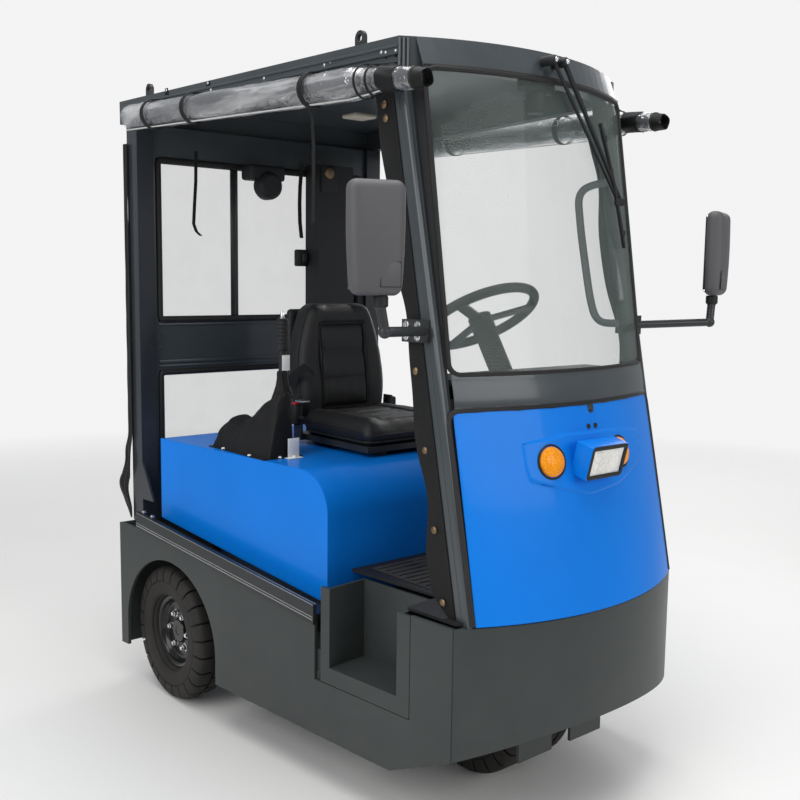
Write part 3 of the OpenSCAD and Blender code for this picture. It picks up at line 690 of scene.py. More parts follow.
def tyre(width):
    """A solid tyre on X: a turned carcass whose bead sits deep, with lugs over both shoulders."""
    half, reach = width / 2, TYRE_R
    side = [(RIM_R + 0.0005, half - 0.030), (RIM_R + 0.0095, half - 0.0275),
            (RIM_R + 0.0120, half - 0.0190), (RIM_R + 0.0150, half - 0.0165),
            (RIM_R + 0.0165, half - 0.0085), (RIM_R + 0.0215, half - 0.0035),
            (RIM_R + 0.0280, half - 0.0012), (RIM_R + 0.0350, half - 0.0004),
            (reach - 0.046, half - 0.0004), (reach - 0.0425, half - 0.0034),
            (reach - 0.024, half - 0.0070), (reach - 0.0085, half - 0.0220)]
    outline = side + [(r, -h) for r, h in reversed(side)]
    carcass = turned(outline, (0, 0, 0), (1, 0, 0), 112)
    path = [(0.005, reach), (half - 0.024, reach), (half - 0.0150, reach - 0.0014),
            (half - 0.0080, reach - 0.0055), (half - 0.0035, reach - 0.0130),
            (half - 0.0010, reach - 0.0250), (half - 0.0002, reach - 0.0420)]
    last = len(path) - 1

    def where(u, v):
        k = min(int(v * last), last - 1)
        share = v * last - k
        x = path[k][0] + share * (path[k + 1][0] - path[k][0])
        r = path[k][1] + share * (path[k + 1][1] - path[k][1])
        turn = (0.5 - u) * 0.0478 / reach
        return Vector((x, r * math.sin(turn), r * math.cos(turn)))

    lug = surface(5, last, where)
    worked(lug, "SOLIDIFY", thickness=0.0075, offset=-1)
    worked(lug, "BEVEL", width=0.0012, segments=2, limit_method="ANGLE",
           angle_limit=math.radians(50))
    far = copied(lug, Matrix.Rotation(math.pi / LUGS, 4, "X") @ Matrix.Rotation(math.pi, 4, "Z"))
    return joined(carcass, ringed(lug, LUGS), ringed(far, LUGS))


def rear_rim(half):
    """A deep rim: rolled lip sunk in the tyre, barrel, and a flat disc with a nut circle."""
    lip = half - 0.025
    outline = [(0.1050, lip - 0.0040), (0.1110, lip - 0.0044), (0.1120, lip - 0.0022),
               (0.1112, lip), (0.1080, lip + 0.0006), (0.1030, lip - 0.0008),
               (0.0985, lip - 0.0045), (0.0965, lip - 0.0105), (0.0945, lip - 0.0125),
               (0.0925, lip - 0.0155), (0.0915, 0.0125), (0.0890, 0.0085), (0.0845, 0.0070),
               (0.0800, 0.0072), (0.0740, 0.0064), (0.0400, 0.0064), (0.0375, 0.0080),
               (0.0365, 0.0150), (0.0340, 0.0172), (0.0150, 0.0176), (0.0140, 0.0160),
               (0.0, 0.0160), (0.0, -0.0060), (0.0900, -0.0060), (0.0905, -lip + 0.0040),
               (0.1110, -lip), (0.1120, -lip + 0.0022), (0.1110, -lip + 0.0044),
               (0.1050, -lip + 0.0040), (0.1050, lip - 0.0040)]
    return turned(outline, (0, 0, 0), (1, 0, 0), 72)


tyre_wide, tyre_twin, rim_form = tyre(0.108), tyre(0.100), rear_rim(0.054)
nut = joined(hexagon((0.0064, 0, 0.056), (1, 0, 0), 0.0200, 0.0115, 0.0120),
             turned([(0, 0.0235), (0.0058, 0.023), (0.0066, 0.0215), (0.0066, 0.009), (0, 0.009)],
                    (0, 0, 0.056), (1, 0, 0), 14))
nut_ring = ringed(nut, NUTS, math.radians(30))
for side, turn in (("right", math.pi), ("left", 0.0)):
    sign = -1 if side == "right" else 1
    hub = Matrix.Translation(at(sign * 0.451, 0, TYRE_R)) @ Matrix.Rotation(turn, 4, "Z")
    body = "rear_wheel_" + side
    made = settled(copied(tyre_wide, hub), "tyre_tread_rear_" + side, "rubber", body, 30)
    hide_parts("tyre_rear_" + side)
    made = settled(copied(rim_form, hub), "rim_dish_" + side, "rim", body, 28)
    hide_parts("rim_rear_" + side)
    settled(copied(nut_ring, hub), "wheel_nuts_" + side, "chrome", body, 30)
pair = [copied(tyre_twin, Matrix.Translation(at(x, -0.925, TYRE_R))) for x in (-0.062, 0.062)]
made = settled(joined(*pair), "tyre_treads_front", "rubber", "front_wheels", 30)
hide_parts("tyres_front")
for spare in (tyre_wide, tyre_twin, rim_form, nut_ring):
    bpy.data.objects.remove(spare)


# cab frame, seals and belt moulding
PILLAR_FOOT, PILLAR_HEAD = 0.5363, 1.8002


def between(low, high, k):
    return low + (high - low) * k


def pillar(k):
    """The right pillar's inner front corner, width and depth, from its foot to its head."""
    return (at(between(-0.360, -0.3552, k), between(-1.219, -0.962, k),
               between(PILLAR_FOOT, PILLAR_HEAD, k)),
            between(0.020, 0.030, k), between(0.058, 0.050, k))


def pillar_frame(k):
    """Stretches the pillar's section, drawn 1 by 1, to its width and depth at a height."""
    corner, wide, deep = pillar(k)
    return Matrix(((-wide, 0, 0, corner.x), (0, deep, 0, corner.y), (0, 0, 1, corner.z),
                   (0, 0, 0, 1)))


PILLAR_SECTION = [(0.10, 0.02), (0.16, 0.0), (0.36, 0.0), (0.40, 0.03), (0.47, 0.03), (0.51, 0.0),
                  (0.66, 0.0), (0.80, 0.008), (0.92, 0.035), (0.99, 0.10), (1.0, 0.15),
                  (1.0, 0.34), (0.95, 0.36), (0.95, 0.40), (1.0, 0.42), (1.0, 0.70),
                  (0.95, 0.72), (0.95, 0.76), (1.0, 0.78), (1.0, 0.95), (0.94, 1.0),
                  (0.06, 1.0), (0.0, 0.95), (0.0, 0.06)]
post = tidied(swept(PILLAR_SECTION, [pillar_frame(i / 12) for i in range(13)]))
made = both(post, "pillar_extrusion", "cab")
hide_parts("a_pillars")


def web_place(u, v):
    """The strip that closes the slit between the front skin's edge and the right pillar."""
    corner = pillar(v)[0]
    x, z = between(-0.3600, -0.3530, v), between(0.545, 1.797, v)
    return at(x, skin_y(x, z) + 0.0025, z).lerp(corner + Vector((-0.002, 0.005, 0)), u)


both(surface(3, 40, web_place, 0.003), "pillar_web", "plastic")


def loop_on_skin(half_low, half_high, low, high, corner, out):
    """A rounded frame laid on the front skin."""
    points = []
    for sx, sz, across, rise in corners(7):
        z = (high if sz > 0 else low) - sz * corner + corner * rise
        half = between(half_low, half_high, (z - low) / (high - low))
        points.append((sx * (half - corner) + corner * across, z))
    full = []
    for (x0, z0), (x1, z1) in zip(points, points[1:] + points[:1]):
        steps = max(1, int(math.hypot(x1 - x0, z1 - z0) / 0.03))
        for i in range(steps):
            x, z = between(x0, x1, i / steps), between(z0, z1, i / steps)
            full.append(at(x, skin_y(x, z) - out, z))
    return full


def out_of_skin(place):
    return Vector((place.x * 0.9, -1.0, 0.0)).normalized()


def bulb(wide, tall):
    """A half-round rubber section with a lip on each side."""
    return [(-wide, -0.002), (-wide, 0.002), (-wide * 0.72, tall * 0.66), (-wide * 0.3, tall),
            (wide * 0.05, tall * 0.98), (wide * 0.22, tall * 0.72), (wide * 0.34, tall * 0.7),
            (wide * 0.62, tall * 0.8), (wide * 0.9, tall * 0.5), (wide, 0.001), (wide, -0.002)]


path = loop_on_skin(0.3545, 0.3525, 1.1005, 1.7985, 0.026, 0.001)
seal = tidied(swept(bulb(0.0062, 0.0046), frames_round(path, out_of_skin), False))
settled(seal, "windscreen_seal", "seal", angle=40)

arch = [(-0.3698, 0.541)] + [(-0.3698, z) for z in (0.62, 0.72, 0.82, 0.92, 0.985)]
arch += [(-0.3675, 1.0005), (-0.361, 1.0125), (-0.349, 1.0195)]
arch += [(x / 10, 1.0210) for x in range(-3, 4)] + [(-x, z) for x, z in arch[::-1]]
arch = [at(x, skin_y(x, z) - 0.001, z) for x, z in arch]
seal = tidied(swept(bulb(0.0068, 0.0056), frames(arch, out_of_skin)))
settled(seal, "panel_seal", "seal", angle=40)


def belt_place(u, v):
    """The dark band between windscreen and panel, a little swollen."""
    x, z = between(-0.353, 0.353, u), between(1.0175, 1.1025, v)
    swell = 0.0035 * math.sin(math.pi * min(1, max(0, (v - 0.1) / 0.8))) ** 0.5
    return at(x, skin_y(x, z) - 0.0005 - swell, z)


settled(surface(48, 14, belt_place, 0.003), "belt_moulding", "cab")

# the pressed front panel
FIELD = ((-0.201, 0.938), (-0.199, 0.882), (-0.194, 0.856), (-0.165, 0.845), (-0.102, 0.828),
         (-0.013, 0.808), (0.110, 0.819), (0.228, 0.859), (0.248, 0.901), (0.247, 0.933),
         (0.175, 0.943), (0.103, 0.949), (-0.070, 0.952))


def inside_field(x, z):
    """How far inside the pressed field's outline a place is; negative outside."""
    nearest, odd = 9.0, False
    for (x0, z0), (x1, z1) in zip(FIELD, FIELD[1:] + FIELD[:1]):
        dx, dz = x1 - x0, z1 - z0
        k = min(1, max(0, ((x - x0) * dx + (z - z0) * dz) / (dx * dx + dz * dz)))
        nearest = min(nearest, math.hypot(x - x0 - k * dx, z - z0 - k * dz))
        if (z0 > z) != (z1 > z) and x < x0 + (z - z0) / dz * dx:
            odd = not odd
    return nearest if odd else -nearest


def panel_place(u, v):
    """The blue panel on the front skin, with the lamps' field pressed out of it."""
    x, z = between(-0.3650, 0.3650, u) * between(1, 0.979, v), between(0.5385, 1.0165, v)
    k = min(1, max(0, inside_field(x, z) / 0.0045 + 0.5))
    return at(x, skin_y(x, z) - 0.0012 - 0.0034 * k * k * (3 - 2 * k), z)


panel = surface(256, 180, panel_place, 0.004)
panel = settled(panel, "front_panel_pressing", "blue", angle=50)
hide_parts("front_panel")
# a thin rod at the pressed field's edge, in a darker blue: painted shade in the crease
crease = [FIELD[i] for i in (0, 12, 11, 10, 9, 8, 7, 6, 5, 4, 3)]
crease = [at(x, skin_y(x, z) - 0.0050, z) for x, z in crease]
settled(rod(crease, 0.0013, 6), "field_crease", "painted_shade_blue")

LEAN = math.radians(13.73)
lamp = Matrix.Translation(at(0, -1.2904, 0.889)) @ Matrix.Rotation(LEAN, 4, "X")
cowl = block((-0.068, -0.0005, -0.042), (0.068, 0.050, 0.042), 0.0022, 3)
hole = block((-0.0575, -0.03, -0.0345), (0.0575, 0.016, 0.0345), 0.006, 3)
worked(cowl, "BOOLEAN", operation="DIFFERENCE", solver="EXACT", object=hole)
bpy.data.objects.remove(hole)
settled(moved(cowl, lamp), "headlamp_cowl", "blue", angle=30)


def frame_ring(outer, inner, corner, depth):
    """A rounded rectangular ring with a rolled section, in its own X and Z, facing -Y."""
    half_x, half_z = (outer[0] + inner[0]) / 2 - corner, (outer[1] + inner[1]) / 2 - corner
    points = [Vector((sx * half_x + corner * across, 0, sz * half_z + corner * rise))
              for sx, sz, across, rise in corners(6)]
    wide = (outer[0] - inner[0]) / 2
    section = [(-wide, -0.003), (-wide, depth * 0.4), (-wide * 0.6, depth * 0.9), (0, depth),
               (wide * 0.6, depth * 0.9), (wide, depth * 0.4), (wide, -0.003)]
    return tidied(swept(section, frames_round(points, lambda place: Vector((0, -1, 0))), False))


ring = frame_ring((0.0665, 0.0405), (0.0570, 0.0340), 0.004, 0.0022)
settled(moved(ring, lamp), "headlamp_bezel", "plastic", angle=40)


def lens_place(u, v):
    """The headlamp's lens: flat in the middle, drawn back at its edges."""
    x, z = (2 * u - 1) * 0.0572, (2 * v - 1) * 0.0342
    return Vector((x, 0.0045 - 0.0040 * (1 - (x / 0.0573) ** 4) * (1 - (z / 0.0343) ** 4), z))


glass = moved(surface(40, 26, lens_place, 0.002), lamp)
glass = settled(glass, "headlamp_lens", "headlight", angle=60)
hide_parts("headlamp")
reflector = [block((-0.0565, 0.0138, -0.0335), (0.0565, 0.0152, 0.0335), 0.0004)]
for sign in (-1, 1):
    bowl = turned([(0.0, 0.0), (0.010, 0.0006), (0.018, 0.0028), (0.0235, 0.0068)],
                  (sign * 0.0265, 0.0128, 0), (0, -1, 0), 36)
    bulb_piece = turned([(0, 0.006), (0.0036, 0.005), (0.0042, 0.001), (0, 0.001)],
                        (sign * 0.0265, 0.0125, 0), (0, -1, 0), 18)
    reflector += [bowl, bulb_piece]
settled(moved(joined(*reflector), lamp), "headlamp_reflector", "chrome", angle=40)

turn = Matrix.Rotation(math.radians(-8), 4, "Z") @ Matrix.Rotation(math.pi / 2 - LEAN, 4, "X")
lamp_seat = Matrix.Translation(at(-0.127, -1.222, 0.892)) @ turn
dome = turned([(0, 0.0205), (0.010, 0.0202), (0.020, 0.0190), (0.028, 0.0166), (0.0335, 0.0128),
               (0.0360, 0.0080), (0.0366, -0.010), (0, -0.010)], (0, 0, 0), (0, 0, 1), 56)
made = both(moved(dome, lamp_seat), "indicator_lens", "amber")
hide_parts("front_indicators")
rim_ring = turned([(0.0372, 0.0040), (0.0385, 0.0075), (0.0405, 0.0085), (0.0422, 0.0070),
                   (0.0430, 0.0030), (0.0432, -0.006), (0.0372, -0.006), (0.0372, 0.0040)],
                  (0, 0, 0), (0, 0, 1), 56)
both(moved(rim_ring, lamp_seat), "indicator_ring", "plastic")
for index, x in enumerate((0.016, 0.043)):
    grommet = turned([(0.0, 0.0012), (0.0046, 0.0012), (0.0052, 0.0020), (0.0064, 0.0018),
                      (0.0070, -0.001), (0, -0.001)], at(x, skin_y(x, 0.965) - 0.0034, 0.965),
                     (0, -1, 0.244), 24)
    settled(grommet, "hole_grommet_%d" % (index + 1), "seal")
tongue = [(0.0105, 0.010), (0.0105, -0.004), (0.0078, -0.0095), (0.0, -0.0120),
          (-0.0078, -0.0095), (-0.0105, -0.004), (-0.0105, 0.010)]
tilt = Matrix.Rotation(math.pi / 2 - LEAN, 4, "X")
tab = plate(tongue, 0.0050, tilt, 0.0012)
screw = turned([(0, 0.0046), (0.0030, 0.0044), (0.0044, 0.0034), (0.0048, 0), (0, 0)],
               (0, 0, 0), tilt @ Vector((0, 0, 1)), 20)
moved(screw, Matrix.Translation(tilt @ Vector((0, -0.003, 0.0015))))
tab = joined(tab, screw)
settled(moved(tab, Matrix.Translation(at(0.034, skin_y(0.034, 1.008) - 0.003, 1.008))),
        "panel_latch", "black_steel")

# sill rails, strips and rolls
def sill(y, z, out):
    """A place on the right sill, so far out from the side plate."""
    return at(-half_at(CHASSIS_HALF, y) - out, y, z)


def rail_top(y):
    """The sill rail's top, which climbs towards the rear."""
    return between(0.480, 0.574, min(1, max(0, (y + 0.728) / 0.856)))


ends = [-0.7255 + 0.8525 * i / 16 for i in range(17)]
beads = []
for out, down, radius in ((0.0070, 0.0, 0.0014), (-0.0022, -0.0006, 0.0012),
                          (0.0078, 0.0325, 0.0012), (0.0072, 0.0400, 0.0016)):
    beads.append(rod([sill(y, rail_top(y) - down, out) for y in ends], radius, 8))
both(joined(*beads), "sill_edge_beads", "steel")


def strip_place(u, v):
    """A snapped strip behind the right pillar's outer edge, its rear edge wavy."""
    corner, wide, deep = pillar(v * 0.985)
    reach = 0.056 + 0.009 * math.sin(v * 21) + 0.008 * math.sin(v * 9.0 + 1.0)
    if v < 0.04:
        reach *= math.sqrt(max(0.04, v / 0.04))
    flutter = u ** 2 * (0.006 * math.sin(v * 34 + 0.6) + 0.004 * math.sin(v * 13))
    return Vector((corner.x - wide - 0.0016 - 0.004 * u * u + flutter * 0.7,
                   corner.y + deep * 0.75 + reach * u, corner.z + 0.004))


strip = surface(10, 150, strip_place, 0.0014)
made = both(strip, "pillar_snap_strip", "cover", angle=60)
for piece in made:
    side = piece.name.rsplit("_", 1)[1]
snaps = []
for height in (0.577, 0.742, 0.924, 1.106, 1.690, 1.722):
    corner, wide, deep = pillar((height - PILLAR_FOOT) / (PILLAR_HEAD - PILLAR_FOOT))
    snaps.append(domed((corner.x - wide - 0.0045, corner.y + deep * 0.75 + 0.034, height),
                       (-1, 0, 0), 0.0094, 0.0042))
both(joined(*snaps), "strip_snaps", "brass")

ROLL_REAR, ROLL_FRONT = Vector((-0.5284, 0.145, 1.793)), Vector((-0.4430, -0.982, 1.763))
ROLL_TIP = Vector((-0.4310, -1.104, 1.7505))
ROLL_WINDS, ROLL_HEM_TURN = 6, -1.22
STRAP_AT = (0.122, 0.309, 0.768, 0.938, 0.967)
roll_way = (ROLL_FRONT - ROLL_REAR).normalized()
roll_side = roll_way.cross(Vector((0, 0, 1))).normalized()
roll_up = roll_side.cross(roll_way).normalized()


def round_axis(start, end, k, turn, radius):
    """A place round the line from start to end, at a share k of it."""
    place = start + (end - start) * k
    return at(*(place + (roll_side * math.cos(turn) + roll_up * math.sin(turn)) * radius))


def round_roll(k, turn, radius):
    return round_axis(ROLL_REAR, ROLL_FRONT, k, turn, radius)


def round_tip(k, turn, radius):
    return round_axis(ROLL_FRONT, ROLL_TIP, k, turn, radius)


def slim_at(k):
    """How much the roll is drawn in towards its front end."""
    return 1 - 0.31 * max(0.0, (k - 0.91) / 0.09) ** 1.2


def film_place(u, v):
    """The clear curtain wound on itself, drawn in under each strap and wrinkled."""
    turn = u * math.tau * ROLL_WINDS + ROLL_HEM_TURN
    tuck = 1 - 0.055 * sum(math.exp(-((v - k) / 0.018) ** 2) for k in STRAP_AT)
    round_it = Vector((math.cos(turn), math.sin(turn), 0))
    wrinkle = 0.0012 * noise.noise(round_it * 2 + Vector((0, 0, v * 26 + u * 3)))
    wrinkle += 0.0022 * noise.noise(round_it * 3.4 + Vector((0, 0, v * 7)))
    radius = (0.0140 + 0.0252 * u) * tuck * slim_at(v) + wrinkle
    return round_roll(0.006 + v * 0.985, turn, radius)


made = both(surface(200, 130, film_place), "rolled_curtain", "film", angle=60)
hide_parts("curtain_rolls")


def hem_place(u, v):
    """The pale hem where the curtain's free edge lies on the roll."""
    return round_roll(0.004 + v * 0.985, (u - 0.5) * 0.12 + ROLL_HEM_TURN, 0.0404 * slim_at(v))


both(surface(4, 60, hem_place, 0.0012), "curtain_hem", "white", angle=60)


def wrap_place(u, v):
    """The black band round the roll's narrow front end."""
    turn = u * math.tau
    radius = 0.0274 + 0.0008 * math.sin(turn * 7 + v * 3)
    return round_tip(between(-0.12, 0.34, v), turn, radius)


def tip_place(u, v):
    """The roll's own end beyond the band."""
    turn = u * math.tau
    radius = between(0.0258, 0.0238, v) + 0.0007 * math.sin(turn * 5 + v * 7)
    return round_tip(between(0.32, 0.76, v), turn, radius)


def flap_place(u, v):
    """The open black sleeve at the very end."""
    turn = u * math.tau
    radius = between(0.0236, 0.0196, v) + 0.0012 * v * math.sin(turn * 4)
    return round_tip(between(0.76, 1.0, v), turn, radius)


both(surface(72, 16, wrap_place, 0.0014), "curtain_wrap", "cover", angle=60)
both(surface(48, 14, tip_place, 0.0010), "curtain_tip", "film", angle=60)
both(surface(48, 8, flap_place, 0.0014), "curtain_end_flap", "cover", angle=60)
ring = turned([(0.0215, 0), (0.0215, 0.005), (0.0230, 0.0066), (0.0252, 0.0060), (0.0258, 0),
               (0.0215, 0)], at(*ROLL_FRONT.lerp(ROLL_TIP, 0.72)), roll_way, 40)
both(ring, "curtain_tip_ring", "seal")

rings, hooks = [], []
for index, k in enumerate(STRAP_AT):
    wide = 0.007 if index > 2 else 0.018
    middle = at(*(ROLL_REAR + (ROLL_FRONT - ROLL_REAR) * k))
    edge = -half_at(CAB_HALF, middle.y - AXLE)
    snug = 0.0418 * slim_at(k)
    loops = [round_roll(k, math.tau * i / 40, snug + 0.0004 * math.sin(i)) for i in range(41)]
    rings.append(band(loops, roll_way, wide, 0.0016))
    hang = [middle + roll_up * snug + Vector((0.002, 0, 0))]
    hang += [Vector((edge + out, middle.y, middle.z + rise))
             for out, rise in ((0.006, 0.050), (-0.001, 0.062), (-0.0012, 0.080))]
    rings.append(band(hang, (0, 1, 0), wide, 0.0016))
    buckle = round_roll(k, 2.75, 0.0442 * slim_at(k))
    hooks.append(rod([buckle + roll_way * sx * wide * 0.72 + roll_up * sz * 0.008
                      for sx, sz in ((-1, -1), (1, -1), (1, 1), (-1, 1))], 0.0013, 8, False, True))
    hooks.append(domed(Vector((edge - 0.0022, middle.y, middle.z + 0.074)), (-1, 0, 0),
                       0.0052, 0.0024, 14))
made = settled(joined(*[copied(piece) for piece in rings],
                      *[mirrored(piece) for piece in rings]), "curtain_rings", "web", angle=60)
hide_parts("curtain_straps")
for piece in rings:
    bpy.data.objects.remove(piece)
both(joined(*hooks), "ring_hooks", "steel")


def post_strip(u, v):
    """A crumpled loose strip down the rear post, fuller near its foot."""
    z = between(0.530, 1.728, v)
    loose = 0.25 + 1.6 * bump_at(v, 0.10, 0.08)
    crease = abs(noise.noise(Vector((u * 2, v * 9, 7))))
    x = -half_at(CAB_HALF, 0.224) - 0.0035 - 0.010 * crease * loose
    wide = 1 - 0.75 * max(0.0, 1 - v / 0.035)
    swell = 0.044 * bump_at(v, 0.085, 0.055) + 0.012 * bump_at(v, 0.19, 0.03)
    y = between(0.2340, 0.2610, 0.5 + (u - 0.5) * wide) + swell * (0.6 + u)
    return at(x, y + 0.005 * loose * noise.noise(Vector((u * 1.6, v * 8, 3))), z)


strip = surface(10, 150, post_strip, 0.0012)
made = both(strip, "post_curtain_strip", "cover", angle=60)


# seat, belt and lever
def stuffed(half, radius, cuts, shape):
    """A subdivided block with round edges whose surface is then moved by shape."""
    deselect()
    bpy.ops.mesh.primitive_cube_add(size=2)
    piece = bpy.context.object
    bpy.ops.object.mode_set(mode="EDIT")
    bpy.ops.mesh.subdivide(number_cuts=cuts)
    bpy.ops.object.mode_set(mode="OBJECT")
    for corner in piece.data.vertices:
        full = Vector([c * h for c, h in zip(corner.co, half)])
        core = Vector([max(radius - h, min(h - radius, c)) for c, h in zip(full, half)])
        corner.co = shape(core + (full - core).normalized() * radius)
    return tidied(piece)


def cushion_shape(p):
    """Crowned top with stitched grooves, side rolls, a drooping front and full flanks."""
    top = max(0.0, min(1.0, (p.z + 0.010) / 0.035))
    crown = 0.007 * (1 - (p.x / 0.17) ** 4) * (1 - (p.y / 0.17) ** 4)
    groove = bump_at(abs(p.x), 0.092, 0.0045) * (abs(p.y) < 0.118)
    groove += (bump_at(abs(p.y), 0.118, 0.0045) + 0.8 * bump_at(p.y, -0.039, 0.006)
               + 0.8 * bump_at(p.y, 0.039, 0.006)) * (abs(p.x) < 0.092)
    roll = 0.008 * bump_at(abs(p.x), 0.130, 0.030)
    droop = -0.016 * max(0.0, (-p.y - 0.105) / 0.055) ** 2
    wrinkle = 0.0012 * noise.noise(p * 34)
    belly = 0.006 * (1 - abs(p.z) / 0.034) if abs(p.z) < 0.034 else 0
    out = Vector((p.x, p.y, 0)).normalized() * belly if max(abs(p.x), abs(p.y)) > 0.13 else Vector()
    return p + out + Vector((0, 0, top * (crown + roll + droop - 0.0065 * groove + wrinkle)))


def piping(half_x, half_y, radius, corner, lift):
    """A closed welt round a rounded rectangle; lift gives its height at a place."""
    points = []
    for sx, sy, across, deep in corners(7):
        x, y = sx * (half_x - corner) + corner * across, sy * (half_y - corner) + corner * deep
        points.append(Vector((x, y, lift(x, y))))
    return rod(points, radius, 8, True, True)


base = Matrix.Translation(at(0, -0.416, 0.8755))
seat = moved(stuffed((0.165, 0.162, 0.033), 0.026, 56, cushion_shape), base)
seat = settled(seat, "seat_cushion_cover", "vinyl", "hood_lid", 60)
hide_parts("seat_cushion")
upper = piping(0.1685, 0.1655, 0.0032, 0.034,
               lambda x, y: 0.010 - 0.010 * max(0, (-y - 0.09) / 0.07) ** 2)
lower = piping(0.168, 0.165, 0.0030, 0.034, lambda x, y: -0.021)
settled(joined(moved(upper, base), moved(lower, base)), "cushion_piping", "vinyl", "hood_lid", 60)


def back_shape(p):
    """Wider at its middle, with three pads inside a seam and swollen sides round them."""
    high = (p.z + 0.19) / 0.38
    full = (0.150 + 0.016 * math.sin(min(1, high / 0.45) * math.pi / 2)) - 0.036 * max(
        0, (high - 0.45) / 0.43) ** 1.9
    p = Vector((p.x * full / 0.165, p.y, p.z))
    front = max(0.0, min(1.0, (-p.y - 0.010) / 0.022))
    inside = abs(p.x) < 0.086 and -0.138 < p.z < 0.124
    edge = min(0.086 - abs(p.x), p.z + 0.138, 0.124 - p.z)
    rim = bump_at(edge, 0.0, 0.0045)
    if inside:
        fill = 0.0105 * abs(math.sin(math.pi * (p.z + 0.138) / 0.08733)) ** 0.5
        fill *= min(1, max(0, edge) / 0.012)
    else:
        fill = 0.012 * (1 - min(1, abs(abs(p.x) - full * 0.80) / 0.045) ** 2)
        fill = max(fill, 0.010 * bump_at(p.z, 0.150, 0.022))
    lumbar = 0.010 * bump_at(p.z, -0.075, 0.075)
    wrinkle = 0.0010 * noise.noise(p * 30)
    return p + Vector((0, -front * (fill + lumbar + wrinkle - 0.0060 * rim), 0))


lean = Matrix.Translation(at(0, -0.211, 0.860)) @ Matrix.Rotation(math.radians(-5), 4, "X")
seat = stuffed((0.165, 0.041, 0.190), 0.034, 64, back_shape)
seat = settled(moved(seat, lean @ Matrix.Translation((0, 0.003, 0.190))), "seat_back_cover",
               "vinyl", "hood_lid", 60)
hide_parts("seat_back")
low, high, half = 0.0505, 0.3155, 0.0875
right_half = [(half - 0.012, low), (half - 0.003, low + 0.003), (half, low + 0.012),
              (half, (low + high) / 2), (half, high - 0.012), (half - 0.003, high - 0.003),
              (half - 0.012, high)]
ring = [Vector((x, -0.0415 - 0.010 * bump_at(z - 0.19, -0.075, 0.075), z))
        for x, z in [(-half + 0.012, low)] + right_half + [(-x, z) for x, z in right_half[:0:-1]]]
welts = [rod(ring, 0.0026, 8, True, True)]
for side in (-1, 1):
    line = []
    for i in range(15):
        z = -0.165 + 0.33 * i / 14
        edge = back_shape(Vector((side * 0.165, 0.0, z)))
        line.append(Vector((edge.x * 0.985, -0.024, z + 0.190)))
    welts.append(rod(line, 0.0028, 8))
settled(moved(joined(*welts), lean), "back_piping", "vinyl", "hood_lid", 60)


def shell_shape(p):
    """The seat back's moulded shell: narrower at its top, bowed to the rear."""
    high = (p.z + 0.17) / 0.34
    return Vector((p.x * (1 - 0.20 * max(0, high - 0.5) ** 1.5),
                   p.y + 0.014 * (1 - (p.x / 0.15) ** 2) * (p.y > 0), p.z))


shell = moved(stuffed((0.142, 0.013, 0.170), 0.012, 24, shell_shape),
              lean @ Matrix.Translation((0, 0.060, 0.196)))
settled(shell, "seat_back_shell", "plastic", "hood_lid", 50)

for sign, side in ((-1, "right"), (1, "left")):
    x = sign * 0.187
    buckle = block((x - 0.014, -0.262, 0.870), (x + 0.014, -0.222, 0.934), 0.006, 3)
    tongue = block((x - 0.004, -0.290, 0.890), (x + 0.004, -0.262, 0.900), 0.001)
    settled(from_axle(joined(buckle, tongue)), "belt_buckle_" + side, "plastic", "hood_lid")
button = block((-0.198, -0.256, 0.932), (-0.176, -0.232, 0.938), 0.003, 3)
settled(from_axle(button), "buckle_button", "red_button", "hood_lid")
tongue = block((-0.200, -0.302, 0.943), (-0.174, -0.258, 0.949), 0.002)
settled(from_axle(tongue), "belt_tongue", "steel", "hood_lid")
line = [at(x, y, z) for x, y, z in ((-0.176, -0.150, 0.905), (-0.186, -0.172, 0.955),
        (-0.189, -0.193, 0.985), (-0.190, -0.225, 1.010), (-0.189, -0.262, 1.034),
        (-0.186, -0.300, 1.052), (-0.178, -0.312, 1.046), (-0.172, -0.306, 1.030))]
web = settled(band(line, (-0.304, 0.342, 0.542), 0.026, 0.0016), "seat_belt_web", "web",
              "hood_lid", 60)
reel = block((-0.196, -0.175, 0.846), (-0.166, -0.115, 0.912), 0.010, 4)
settled(from_axle(reel), "belt_reel", "plastic", "hood_lid")

LEVER_X, LEVER_Y = -0.325, -0.380
BOOT_LINE = ((-0.136, 0.003), (-0.1385, 0.030), (-0.146, 0.062), (-0.160, 0.083), (-0.184, 0.096),
             (-0.215, 0.092), (-0.240, 0.089), (-0.270, 0.106), (-0.310, 0.132), (-0.350, 0.160),
             (-0.378, 0.186), (-0.396, 0.194), (-0.408, 0.182), (-0.415, 0.130), (-0.420, 0.070),
             (-0.424, 0.030), (-0.427, 0.003))


def boot_place(u, v):
    """The soft cover over the lever's foot: a low rear hump and a slope up to the lever."""
    k = v * (len(BOOT_LINE) - 1)
    i = min(int(k), len(BOOT_LINE) - 2)
    y = between(BOOT_LINE[i][0], BOOT_LINE[i + 1][0], k - i)
    tall = between(BOOT_LINE[i][1], BOOT_LINE[i + 1][1], k - i)
    turn = math.pi * u
    side, rise = math.cos(turn), math.sin(turn) ** 0.62
    side = math.copysign(abs(side) ** 0.72, side)
    slim = rise * min(1, tall / 0.19)
    lean_in = min(1, max(0, (-0.30 - y) / 0.12))
    foot = 0.0615 - 0.022 * lean_in
    half = between(foot, 0.026 if y < -0.25 else 0.044, slim)
    middle = between(-0.3525 - 0.009 * lean_in, -0.330, slim)
    fold = noise.noise(Vector((u * 5, v * 7, 1.5))) * 0.0095 + 0.0026 * math.sin(v * 44 + u * 9)
    fold -= 0.0045 * abs(noise.noise(Vector((u * 9, v * 17, 4.0)))) ** 0.5
    fold *= math.sin(turn) * min(1, tall / 0.05)
    return at(middle - side * (half + fold), y, 0.8105 + tall * rise + fold * 0.5)


